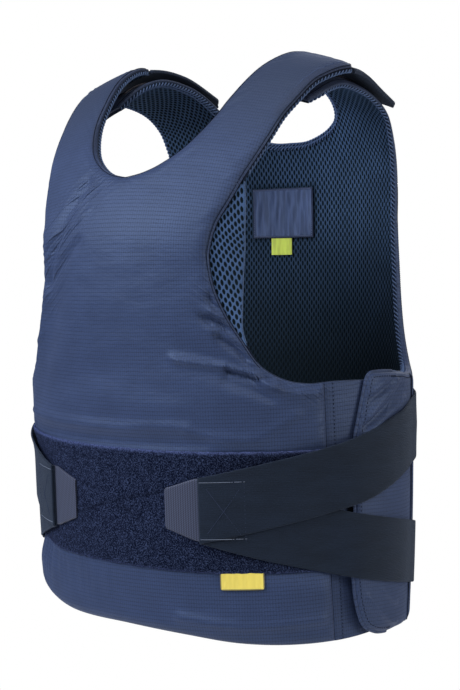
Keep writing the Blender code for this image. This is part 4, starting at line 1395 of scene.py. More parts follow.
@dataclass
class Panels:
    """The padded front and back, with the darker binding at their straps' edges."""

    body: Body
    rows: int = 150
    front_side: Range = (0.0074, 0.0088)
    front_neck: Range = (0.0034, 0.0046)
    back_side: Range = (0.0064, 0.0078)
    side_from: Range = (0.500, 0.530)
    neck_from: Range = (0.460, 0.480)
    end_from: Range = (0.640, 0.650)
    cloth: Material = field(init=False)

    def __post_init__(self) -> None:
        """Make the finish."""
        self.cloth = Ripstop().make()

    def straps(self, table: Array) -> list[Array]:
        """Grids of both straps, ordered so that their faces point the body's way."""
        grid = ruled(table[:, 0:2], table[:, 2:4], np.linspace(0.0, 1.0, ROOF_LINES * self.body.steps + 1))
        return [grid[:, ::-1], grid * [-1.0, 1.0]]

    def binding(self, half: Array, line: Array, width: Range, start: Range) -> Array:
        """1 in a strip beside a strap's edge, from a height upwards, and 0 elsewhere.

        Args:
            half: places on the right half of the pattern.
            line: the edge.
            width: where the strip begins and ends to fade.
            start: the heights between which it comes in.

        Returns:
            The share of binding at each place.
        """
        return (1.0 - ease(distance_to(half, line), *width)) * ease(half[:, 1], *start)

    def front(self) -> None:
        """Build the front panel with its flaps."""
        body = self.body
        strap = body.front_strap
        hem = mirrored(body.front_lines[:, [0, 0]])
        hem[:, 1] = body.hem(hem[:, 0])
        grid = ruled(hem, mirrored(body.front_lines[:, 1:3]), crowded(self.rows))
        cut = Pattern([grid, *self.straps(strap)])
        half = right_half(cut.points)
        trim = np.maximum(self.binding(half, strap[:, 2:4], self.front_side, self.side_from),
                          self.binding(half, strap[:, 0:2], self.front_neck, self.neck_from))
        place = cut.points.T
        piece = cloth_piece("front_cloth", cut, body.front.place(*place, body.lining + body.layer_gap),
                            body.front.place(*place, body.front_outer(cut.points)), self.cloth,
                            {"trim": trim, "pull": near_lines(cut.points, FRONT_PULLS)})
        finished(piece, "ripstop", "front_panel")

    def back(self) -> None:
        """Build the back panel with its wings."""
        body = self.body
        lines, strap = body.back_lines, body.back_strap
        grid = ruled(mirrored(lines[:, 0:2]), mirrored(lines[:, 2:4]), crowded(self.rows))
        cut = Pattern([grid, *self.straps(strap)])
        half = right_half(cut.points)
        trim = np.maximum(self.binding(half, strap[:, 2:4], self.back_side, self.side_from),
                          ease(half[:, 1], *self.end_from))
        place = cut.points.T
        piece = cloth_piece("back_cloth", cut, body.back.place(*place, body.wing_inner(place[0])),
                            body.back.place(*place, body.back_outer(cut.points)), self.cloth,
                            {"trim": trim, "pull": near_lines(half, BACK_PULLS)})
        finished(piece, "ripstop", "back_panel")

    def build(self) -> None:
        """Build both panels."""
        self.front()
        self.back()


@dataclass
class Linings:
    """The spacer mesh inside the front and the back: pierced nets, and cords that close their edges."""

    body: Body
    column: float = 0.0030
    row: float = 0.0083
    bridge: float = 0.0008
    hole_half: float = 0.00142
    hole_long: float = 0.0032
    hole_corner: Range = (0.76, 0.62)
    depth: float = 0.0013
    margin: float = 0.0020
    lean: float = 0.18
    fill: float = 0.3
    back_side: float = 0.1951
    roll_power: float = 1.6
    spacing: float = 0.0015
    cord: float = 0.0006
    hem_cord: float = 0.0008
    rim_size: Range = (0.0008, 0.0017)
    rim_least: float = 0.001
    roll_margin: float = 0.004
    # Painted shade on the back's mesh: a painted shadow round the label with its strength and reach, then how
    # dark the mesh is painted towards the hem and the heights over which that fades
    label_shadow: Range = (0.7, 0.0035)
    interior_shade_most: float = 0.94
    interior_shade_v: Range = (0.23, 0.45)
    net: Material = field(init=False)
    lit_net: Material = field(init=False)
    rim: Material = field(init=False)
    core: Material = field(init=False)

    def __post_init__(self) -> None:
        """Make the finishes."""
        self.net = SpacerMesh().make()
        # A lighter copy of the mesh for its roll at the armhole: painted light where the roll faces the lamps
        self.lit_net = SpacerMesh("armhole_mesh_lit", (0.060, 0.118, 0.285)).make()
        self.rim = DarkCloth("mesh_rim", (0.050, 0.088, 0.190), 0.7, 0.1).make()
        self.core = DarkCloth("mesh_core", (0.008, 0.014, 0.034), 0.9, 0.0).make()

    def roll_at(self, v: Array) -> tuple[Array, Array, Array]:
        """The armhole's edge, and how far the mesh rolls out and back there, at a height.

        Args:
            v: heights on the pattern.

        Returns:
            Where the edge is, the roll's width and its depth back.
        """
        low = [row[1:3] for row in FRONT_BODY[9:ROOF_LINES:-1]]
        strap = [row[2:4] for row in FRONT_STRAP[:len(ARMHOLE_ROLL) - len(low)]]
        edge = np.array(low + strap)
        inside = (v > edge[0, 1]) & (v < edge[-1, 1])
        s, width, back = smooth_line(edge[:, 1], np.column_stack([edge[:, 0], ARMHOLE_ROLL]), v).T
        return s, width * inside, back * inside

    def behind(self, points: Array) -> Array:
        """How far the rolled part of the front's mesh lies back from the form.

        Args:
            points: places on the pattern.

        Returns:
            The distance at each.
        """
        half = right_half(points)
        edge, width, back = self.roll_at(half[:, 1])
        share = np.clip((half[:, 0] - edge) / np.maximum(width, CLOSE), 0.0, 1.0)
        return back * share ** self.roll_power * (width > LEAST_ROLL)

    def holes(self, outline: Array, lean: float = 0.0) -> Array:
        """Middles of all holes whose place is inside an outline of the right half, on both halves.

        Args:
            outline: the outline.
            lean: how far the rows of holes lean towards the centre line as they go up.

        Returns:
            The middles on the pattern.
        """
        reach_v = outline[:, 1].max()
        last = int((np.abs(outline[:, 0]).max() + lean * reach_v) / self.column)
        c, r = (g.ravel() for g in np.meshgrid(np.arange(-last - 1, last + 2),
                                               np.arange(-1, int(reach_v / self.row) + 2), indexing="ij"))
        middle = np.stack([c * self.column, (r + 0.5 * (c % 2)) * self.row], axis=1)
        middle[:, 0] -= np.sign(middle[:, 0]) * lean * middle[:, 1]
        middle = middle[c * middle[:, 0] >= 0.0]
        half = right_half(middle)
        return middle[within(half, outline) | (distance_to(half, outline) < self.margin)]

    def kept_inside(self, places: Array, outline: Array) -> tuple[Array, NDArray[np.bool_]]:
        """Move the places that lie outside an outline onto it, and say which those are.

        Args:
            places: places on both halves of the pattern.
            outline: outline of the right half.

        Returns:
            The moved places, and which of them were outside.
        """
        half = right_half(places)
        out = ~within(half, outline)
        moved = places.copy()
        side = np.where(places[out, 0] < 0.0, -1.0, 1.0)
        moved[out] = closest(half[out], outline)[0] * np.stack([side, np.ones(len(side))], axis=1)
        return moved, out

    def interior_shade(self, places: Array) -> Array:
        """Painted shade on the back's mesh: darker towards the hem, where the inside lies in shadow, and a
        painted shadow round the label.

        Args:
            places: places on the pattern.

        Returns:
            The share of painted shade at each.
        """
        most, reach = self.label_shadow
        label_shadow = most * bump(distance_to(places, box_line(Labels.label_s, Labels.label_v)), 0.0, reach)
        return np.maximum(label_shadow, self.interior_shade_most * (1.0 - ease(places[:, 1], *self.interior_shade_v)))

    def ring(self, holes: Array, corners: Rows, lean: float) -> Array:
        """Places round each hole, leaning with the rows of holes.

        Args:
            holes: the holes' middles.
            corners: the ring's corners about one middle.
            lean: how far the rows of holes lean.

        Returns:
            The corners of all rings, hole by hole.
        """
        s, v = np.array(corners).T
        slope = np.sign(holes[:, :1]) * lean
        around = np.stack([s - slope * v, np.broadcast_to(v, (len(holes), len(v)))], axis=-1)
        return (holes[:, None] + around).reshape(-1, 2)

    def pierced(self, name: str, form: Form, holes: Array, outline: Array, finish: Material,
                lean: float = 0.0, outside: bool = False) -> bpy.types.Object:
        """One net: round each hole a ring of eight faces, and inside it a pit of eight faces.

        Args:
            name: the piece's name.
            form: the form that it lies on.
            holes: the holes' middles on the pattern.
            outline: the outline of the right half that the net ends on.
            finish: its material.
            lean: how far the holes lean towards the centre line as they go up.
            outside: on the mesh's outer side, or else on the side that lies on the wearer.

        Returns:
            The net.
        """
        p, q, m = self.column - self.bridge, self.row / 2.0, self.bridge
        a, b = self.hole_half, self.hole_long
        c, d = a * self.hole_corner[0], b * self.hole_corner[1]
        count = len(holes)
        corners = [(p, 0), (m, q), (0, q), (-m, q), (-p, 0), (-m, -q), (0, -q), (m, -q)]
        outer, index = weld(self.ring(holes, corners, lean))
        corners = [(a, 0), (c, d), (0, b), (-c, d), (-a, 0), (-c, -d), (0, -b), (c, -d)]
        ring = self.ring(holes, corners, lean)
        depth = np.repeat([0.0, HOLE_RIM_DEPTH, 1.0], [len(outer), len(ring), count])
        places, out = self.kept_inside(np.concatenate([outer, ring, holes]), outline)
        depth = np.where(out, 0.0, depth)
        index = index.reshape(count, 8)
        n = np.arange(count * 8).reshape(count, 8) + len(outer)
        tip = np.repeat(np.arange(count)[:, None] + len(outer) + count * 8, 8, axis=1)
        faces = [np.stack([index, np.roll(index, -1, 1), np.roll(n, -1, 1), n], -1).reshape(-1, 4),
                 np.stack([n, np.roll(n, -1, 1), tip], -1).reshape(-1, 3)]
        w = self.body.lining - depth * self.depth if outside else depth * self.depth
        on_back = form is self.body.back
        points = form.place(*places.T, w if on_back else w - self.behind(places))
        # Painted shade on the back's mesh, none on the front's
        painted_shade = self.interior_shade(places) if on_back else np.zeros(len(places))
        piece = make_piece(name, points, faces, finish, places, {"depth": depth, "painted_shade": painted_shade}, sharp=120.0)
        return piece

    def front_outline(self) -> Array:
        """Outline of the front's mesh with the roll at its armhole.

        Returns:
            The outline of the right half.
        """
        line = self.body.front_edge.copy()
        edge, width, _ = self.roll_at(line[:, 1])
        on_armhole = (np.abs(line[:, 0] - edge) < 0.003) & (width > LEAST_ROLL)
        line[:, 0] += np.where(on_armhole, width, 0.0)
        return line

    def back_outline(self) -> Array:
        """Outline of the back's mesh, which ends at the pad's side seam.

        Returns:
            The outline of the right half.
        """
        body = self.body
        lines = body.back_lines[body.back_lines[:, 0] <= self.back_side]
        return outline_of(lines[:, 0:2], lines[:, 2:4], body.back_strap)

    def build(self) -> None:
        """Build the nets of both halves and the cords at their edges."""
        body = self.body
        front, back = self.front_outline(), self.back_outline()
        holes = self.holes(front)
        holes = holes[holes[:, 1] > body.hem(holes[:, 0]) + self.margin]
        net = self.pierced("front_net", body.front, holes, front, self.net)
        finished(net, "spacer_mesh", "front_lining")
        leaning = self.holes(front, self.lean)
        half = right_half(leaning)
        edge, width, _ = self.roll_at(half[:, 1])
        rolled = leaning[(width > LEAST_ROLL) & (half[:, 0] > edge - self.roll_margin)]
        # The rolled mesh takes the lighter copy as painted light
        net = self.pierced("armhole_net", body.front, rolled, front, self.lit_net, self.lean, True)
        finished(net, "spacer_mesh")
        net = self.pierced("back_net", body.back, self.holes(back), back, self.net)
        finished(net, "spacer_mesh", "back_lining")
        self.rims(front, back)

    def rims(self, front: Array, back: Array) -> None:
        """Flat cords that close the mesh's edges and the brighter one round its roll at the armhole.

        Args:
            front: outline of the front's mesh.
            back: outline of the back's.
        """
        body = self.body
        parts, roll = [], []
        middle, half_height = body.lining * 0.5, body.lining * 0.55
        for line in (front, flipped(front)):
            even = evenly(line, self.spacing)
            even[:, 1] = np.maximum(even[:, 1], body.hem(even[:, 0]) + self.hem_cord)
            path, out = laid(body.front, even, middle - self.behind(even))
            parts.append(piping(path, out, self.cord, half_height))
            half = right_half(even)
            edge, width, _ = self.roll_at(half[:, 1])
            on = (width > self.rim_least) & (half[:, 0] > edge + self.rim_least)
            roll.append(piping(path[on], out[on], *self.rim_size))
        for line in (back, flipped(back)):
            path, out = laid(body.back, evenly(line, self.spacing), middle)
            parts.append(piping(path, out, self.cord, half_height))
        finished_parts("lining_edge", parts, self.core, "spacer_mesh")
        finished_parts("armhole_rim", roll, self.rim, "spacer_mesh")


def braid(path: Array, outwards: Array, strand: float, swing: float, pitch: float, strands: int = 2) -> Part:
    """Twist strands round a line: each strand's middle goes round it once in every pitch.

    Args:
        path: the line, with its points much closer than the pitch.
        outwards: unit direction away from the cloth at each point.
        strand: radius of one strand.
        swing: distance of a strand's middle from the line.
        pitch: length of one turn.
        strands: how many there are.

    Returns:
        The points, and arrays of faces.
    """
    _, side, up = axes_along(path, outwards)
    parts = []
    for k in range(strands):
        turn = (2.0 * np.pi * (run_length(path) / pitch + k / strands))[:, None]
        parts.append(piping(path + swing * (side * np.cos(turn) + up * np.sin(turn)), up, strand, strand, 6))
    return joined(parts)


@dataclass
class Trims:
    """Edge cords, piping and rows of stitches on the front and the back."""

    body: Body
    cloth: Material
    spacing: float = 0.0015
    stitch: Sizes = (0.0023, 0.0037, 0.0007)
    strand: Sizes = (0.00065, 0.00150, 0.0088)
    edging_size: Range = (0.0007, 0.0013)
    armhole_size: Range = (0.0005, 0.0008)
    seam_size: Range = (0.00045, 0.0003)
    crease_size: Range = (0.0004, 0.0003)
    wing_size: Range = (0.0024, 0.0014)
    piping_size: Range = (0.0010, 0.0013)
    back_seam_size: Range = (0.0005, 0.0004)
    sample: float = 0.002
    braid_spacing: float = 0.0007
    hem_gap: float = 0.002
    seam_top: float = 0.2375
    second_seam: float = 0.0082
    neck_inset: float = 0.0018
    arm_inset: float = 0.0010
    piping_drop: float = 0.0006
    flap_below: float = 0.262
    piping_above: float = 0.258
    fold_inset: float = 0.0086
    fold_v: Range = (0.550, 0.622)
    wing_from: float = 0.250
    wing_inset: float = 0.0034
    back_inset: float = 0.0040
    back_seam_v: Range = (0.010, 0.2480)
    back_arm_end: float = 0.262
    rim_inset: float = 0.0004
    rim_w: float = 0.0014
    rim_from: float = 0.450
    neck_rims: tuple[Range, Range] = ((0.0006, 0.0012), (0.0036, 0.0004))
    dark: Material = field(init=False)
    braid_finish: Material = field(init=False)
    fold_highlight: Material = field(init=False)
    edging: Material = field(init=False)
    thread: Material = field(init=False)

    def __post_init__(self) -> None:
        """Make the finishes."""
        # Near-black cords: seam lines, and the armhole piping that also stands for the shadow where cloth
        # meets mesh
        self.dark = DarkCloth("dark_piping_and_shadow", (0.0035, 0.0050, 0.0120), 0.9, 0.0).make()
        self.braid_finish = DarkCloth("mesh_braid", (0.075, 0.125, 0.270), 0.6, 0.2, 1800.0).make()
        self.thread = Thread("dark_thread", (0.0040, 0.0065, 0.0180), 0.8, 0.0).make()
        # A lighter colour than the cloth that folds there: a painted highlight along the strap's crease
        self.fold_highlight = DarkCloth("strap_fold_highlight", (0.045, 0.070, 0.160), 0.6, 0.1).make()
        self.edging = DarkCloth("edging", (0.016, 0.025, 0.058), 0.7, 0.1).make()

    def neckline(self, strap: Array) -> Array:
        """A neckline from one strap's end to the other's."""
        return np.concatenate([flipped(strap[:, 0:2])[:0:-1], strap[:, 0:2]])

    def armhole(self, strap: Array, tops: Array) -> Array:
        """An armhole from the strap's end down and along the top of the flap or wing."""
        return np.concatenate([strap[::-1, 2:4], tops[ROOF_LINES * self.body.steps + 1:]])

    def wing_edge(self) -> Array:
        """The wing's free edge: along its top, down its front and back along its foot.

        Returns:
            The line on the right half.
        """
        rows = self.body.back_lines
        low, high = rows[rows[:, 0] > self.wing_from, 0:2], rows[rows[:, 2] > self.wing_from, 2:4]
        front = ruled(high[-1:], low[-1:], np.linspace(0.0, 1.0, 20))[0]
        return np.concatenate([high, front[1:-1], low[::-1]])

    def cords(self, name: str, runs: list[Run], size: Range, finish: Material) -> None:
        """Cords along several lines as one piece.

        Args:
            name: the piece's name.
            runs: form, line and distance outwards of each cord.
            size: half its size along the cloth and away from it.
            finish: its material.
        """
        parts, places = [], []
        for run in runs:
            even, path, out = laid_evenly(*run, self.spacing)
            parts.append(piping(path, out, *size))
            places.append(np.repeat(even, 8, axis=0))
        finished_parts(name, parts, finish, "ripstop", np.concatenate(places))

    def sewn(self, name: str, runs: list[Run]) -> None:
        """Rows of stitches along several lines as one piece."""
        rows = [stitches(*laid_evenly(*run, self.spacing)[1:], *self.stitch) for run in runs]
        finished_parts(name, rows, self.thread, "ripstop")

    def on_front(self, line: Array) -> Run:
        """A line on the front's outer side."""
        even = evenly(line, self.sample)
        return self.body.front, even, self.body.front_outer(even)

    def on_back(self, line: Array) -> Run:
        """A line on the back's outer side."""
        even = evenly(line, self.sample)
        return self.body.back, even, self.body.back_outer(even)

    def upright(self, s: float) -> list[Run]:
        """A line up the front at a distance s from its middle, on both halves, each from its own hem."""
        return [self.on_front(np.array([(x, float(self.body.hem(x)) + self.hem_gap), (x, self.seam_top)]))
                for x in (s, -s)]

    def inset(self, line: Array, distance: float) -> Array:
        """A line moved sideways on the pattern, to the left of its direction."""
        along = unit(np.gradient(line, axis=0))
        return line + np.stack([-along[:, 1], along[:, 0]], axis=1) * distance

    def both(self, make: Callable[[Array], Run], line: Array) -> list[Run]:
        """The same line on both halves."""
        return [make(line), make(flipped(line))]

    def front_trims(self, neck: Array, armhole: Array) -> None:
        """Edging, dark armhole piping that also paints the shadow where cloth meets mesh, seams, and the
        strap's crease with a painted highlight, on the front.

        Args:
            neck: the front's neckline.
            armhole: the front's armhole.
        """
        front, edge_w = self.body.front, self.body.edge_w()
        low = armhole[armhole[:, 1] < self.flap_below]
        high = armhole[armhole[:, 1] >= self.piping_above]
        self.cords("front_edging", [(front, line, edge_w) for line in (neck, low, flipped(low))],
                   self.edging_size, self.edging)
        # Near-black cord at the armhole's upper edge: a dark edge line that also stands for the shadow where
        # the cloth meets the mesh
        runs = [(front, line, edge_w - self.piping_drop) for line in (high, flipped(high))]
        self.cords("armhole_piping_and_shadow", runs, self.armhole_size, self.dark)
        seam = self.upright(SEAM_S)
        neck_in, arm_in = self.inset(neck, -self.neck_inset), self.inset(high, -self.arm_inset)
        self.sewn("front_stitching", [*seam, *self.upright(SEAM_S + self.second_seam), self.on_front(neck_in),
                                      *self.both(self.on_front, arm_in)])
        self.cords("front_seam_line", seam, self.seam_size, self.dark)
        # The strap's crease: a fine raised line with a painted highlight
        crease = self.inset(armhole, -self.fold_inset)
        crease = crease[(crease[:, 1] > self.fold_v[0]) & (crease[:, 1] < self.fold_v[1])]
        self.cords("strap_crease", self.both(self.on_front, crease), self.crease_size, self.fold_highlight)

    def back_trims(self, neck: Array, armhole: Array) -> None:
        """Binding, piping and seams on the back.

        Args:
            neck: the back's neckline.
            armhole: the back's armhole.
        """
        body = self.body
        middle = body.seam * 0.5
        wing, side = self.wing_edge(), np.array([(BACK_PAD_S, v) for v in self.back_seam_v])
        self.cords("wing_edging", [(body.back, line, body.wing_inner(wing[:, 0]) + middle)
                                   for line in (wing, flipped(wing))], self.wing_size, self.cloth)
        arm_w = body.wing_inner(armhole[:, 0]) + middle
        self.cords("back_piping", [(body.back, armhole, arm_w), (body.back, flipped(armhole), arm_w),
                                   (body.back, neck, WING_PATH[0][1] + middle)], self.piping_size, self.cloth)
        self.sewn("back_stitching", [*self.both(self.on_back, self.inset(wing, -self.wing_inset)),
                                     *self.both(self.on_back, self.inset(armhole, -self.back_inset)),
                                     *self.both(self.on_back, side),
                                     self.on_back(self.inset(neck, -self.back_inset))])
        self.cords("back_seam_line", self.both(self.on_back, side), self.back_seam_size, self.dark)

    def build(self) -> None:
        """Make the edging, the dark piping, the stitching and the braids."""
        body = self.body
        necks = self.neckline(body.front_strap), self.neckline(body.back_strap)
        front_arm = self.armhole(body.front_strap, body.front_lines[:, 1:3])
        back_arm = self.armhole(body.back_strap, body.back_lines[:, 2:4])
        back_arm = back_arm[back_arm[:, 0] < self.back_arm_end]
        self.front_trims(necks[0], front_arm)
        self.back_trims(necks[1], back_arm)
        self.braids(*necks, front_arm, back_arm)

    def braids(self, neck: Array, back_neck: Array, front_arm: Array, back_arm: Array) -> None:
        """The twisted edge of the mesh along both necklines, and the mesh's rim at the armholes.

        Args:
            neck: the front's neckline.
            back_neck: the back's.
            front_arm: the front's armhole, of which the strap's part gets a rim.
            back_arm: the back's.
        """
        front, back = self.body.front, self.body.back
        arm, strap = self.inset(back_arm, -self.rim_inset), self.inset(front_arm, -self.rim_inset)
        strap = strap[strap[:, 1] > self.rim_from]
        outer, inner = self.neck_rims
        necks = ((front, neck, outer), (back, back_neck, outer), (back, back_neck, inner))
        runs = [(form, self.inset(line, -aside), w) for form, line, (aside, w) in necks]
        runs += [(form, side, self.rim_w) for form, line in ((back, arm), (front, strap))
                 for side in (line, flipped(line))]
        parts = []
        for run in runs:
            _, path, out = laid_evenly(*run, self.braid_spacing)
            parts.append(braid(path, unit(out), *self.strand))
        finished_parts("neck_braid", parts, self.braid_finish, "spacer_mesh")


@dataclass
class LoopField:
    """The wide field of loops round the front that the hook tabs fasten to."""

    body: Body
    half: float = 0.196
    thick: float = 0.0018
    top: float = 0.1845
    bottom: float = 0.0750
    fall_top: float = 0.003
    fall_bottom: float = 0.006
    fall_over: float = 0.19
    step: float = 0.0013
    rough: float = 0.00016
    ragged: float = 0.00022
    dent: float = 0.0005
    seed: int = 11

    def sides(self, s: Array) -> tuple[Array, Array]:
        """Heights of its lower and upper side, which both fall towards the wearer's left."""
        return (self.bottom - self.fall_bottom * s / self.fall_over,
                self.top - self.fall_top * s / self.fall_over)

    def build(self) -> None:
        """Lay the field on the front, roughen its top, mark its frayed border, and dent its creases and paint
        shade along them.
        """
        body = self.body
        columns, rows = int(2 * self.half / self.step), int((self.top - self.bottom) / self.step)
        s = np.linspace(-self.half, self.half, columns)
        edges = np.array(self.sides(s)) + softened((2, columns), self.seed, 1) * self.ragged
        low, high = (np.stack([s, edge], axis=1) for edge in edges)
        cut = Pattern([ruled(low, high, np.linspace(0.0, 1.0, rows))])
        s, v = cut.points.T
        bottom, top = self.sides(s)
        inside = np.minimum(top - v, v - bottom)
        noise = np.random.default_rng(self.seed).normal(size=len(v))
        dent = bump(np.minimum(*(distance_to(cut.points, line) for line in LOOP_CREASES)), 0.0, 0.0016)
        base = body.front_outer(cut.points) + body.skin_gap
        pile = self.thick * (0.55 + 0.45 * ease(inside, 0.0, 0.0016)) + noise * self.rough - dent * self.dent
        border = np.where(top - v < v - bottom, bump(inside, 0.0, 0.0019), 0.6 * bump(inside, 0.0, 0.0012))
        piece = cloth_piece("loop_pile_field", cut, body.front.place(s, v, base),
                            body.front.place(s, v, base + pile), LoopPile().make(),
                            {"border": border, "crease": dent}, sharp=75.0)
        finished(piece, "loop_pile", "loop_field")


class Girth:
    """The way a taut band takes round one side: along the front pad, straight over to the wing and on
    round the back. A place on it is a distance round the body and a height."""

    HEIGHTS = np.linspace(-0.540, -0.300, 25)
    FRONT_STATIONS = np.linspace(0.050, 0.190, 9)
    BACK_STATIONS = np.append(np.linspace(0.300, 0.200, 7), np.linspace(0.180, 0.060, 6))
    AROUND = np.linspace(0.050, 0.480, 260)
    PATH_STEPS = 1200

    def __init__(self, body: Body, loop_thick: float = 0.0018) -> None:
        """Work out the ways at all heights, and their outward directions.

        Args:
            body: the forms and the layers on them.
            loop_thick: thickness of the loop field under the bands.
        """
        self.points = np.stack([self._ring(body, z, loop_thick) for z in self.HEIGHTS])
        tangent = np.gradient(self.points, axis=1)
        self.normals = unit(np.stack([tangent[..., 1], -tangent[..., 0], 0.0 * tangent[..., 0]], axis=-1))

    def _ring(self, body: Body, z: float, loop_thick: float) -> Array:
        """Points round the body at one height, evenly spaced along the way.

        Args:
            body: the forms.
            z: the height.
            loop_thick: thickness of the loop field under the band.

        Returns:
            The points.
        """
        flat_front = body.lining + body.layer_gap + body.chest_pad
        on_front, on_back = (np.stack([stations, np.full(len(stations), form.v_at_height(z))], axis=1)
                             for stations, form in ((self.FRONT_STATIONS, body.front),
                                                    (self.BACK_STATIONS, body.back)))
        lift = np.minimum(body.front_outer(on_front), flat_front + 0.001) + body.skin_gap + loop_thick
        way = np.concatenate([body.front.place(*on_front.T, lift),
                              body.back.place(*on_back.T, body.back_outer(on_back) + body.skin_gap)])[:, :2]
        chord = run_length(way)
        line = smooth_line(chord, way, np.linspace(0.0, chord[-1], self.PATH_STEPS))
        at = self.AROUND - self.AROUND[0]
        x, y = (np.interp(at, run_length(line), column) for column in line.T)
        return np.stack([x, y, np.full(len(at), z)], axis=1)

    def place(self, around: Array, z: Array, w: ArrayLike, side: Side) -> Array:
        """Points at a distance round the body, a height, and w outwards, on one side of the body.

        Args:
            around: distances round the body.
            z: heights.
            w: distances outwards.
            side: which side of the body.

        Returns:
            The points in space.
        """
        column = (around - self.AROUND[0]) / (self.AROUND[1] - self.AROUND[0])
        row = (z - self.HEIGHTS[0]) / (self.HEIGHTS[1] - self.HEIGHTS[0])
        point, normal = read_grid(self.points, self.normals, row, column)
        return (point + normal * np.broadcast_to(w, around.shape)[..., None]) * [side.sign, 1.0, 1.0]


def stripe(along: Array, middle: ArrayLike, half: ArrayLike, portions: Array) -> Pattern:
    """A cut between two lines that run along both sides of a middle line."""
    low, high = (np.stack(np.broadcast_arrays(along, middle + sign * half), axis=1) for sign in (-1.0, 1.0))
    return Pattern([ruled(low, high, portions)])


@dataclass(frozen=True)
class BandCut:
    """One elastic band's run: its middle height and its lift along the way round."""

    name: str
    middle: tuple[tuple[float, float], ...]
    lift: tuple[tuple[float, float], ...]


UPPER_BAND = BandCut("upper", ((0.090, -0.4300), (0.160, -0.4135), (0.225, -0.3970), (0.310, -0.3710),
                               (0.360, -0.3600), (0.420, -0.3530), (0.480, -0.3510)),
                     ((0.090, 0.0049), (0.132, 0.0049), (0.160, 0.0027), (0.235, 0.0027),
                      (0.290, 0.0006), (0.480, 0.0006)))
LOWER_BAND = BandCut("lower", ((0.090, -0.4310), (0.140, -0.4440), (0.200, -0.4570), (0.305, -0.4765),
                               (0.360, -0.4850), (0.420, -0.4900), (0.480, -0.4920)),
                     ((0.090, 0.0028), (0.132, 0.0028), (0.160, 0.0006), (0.480, 0.0006)))


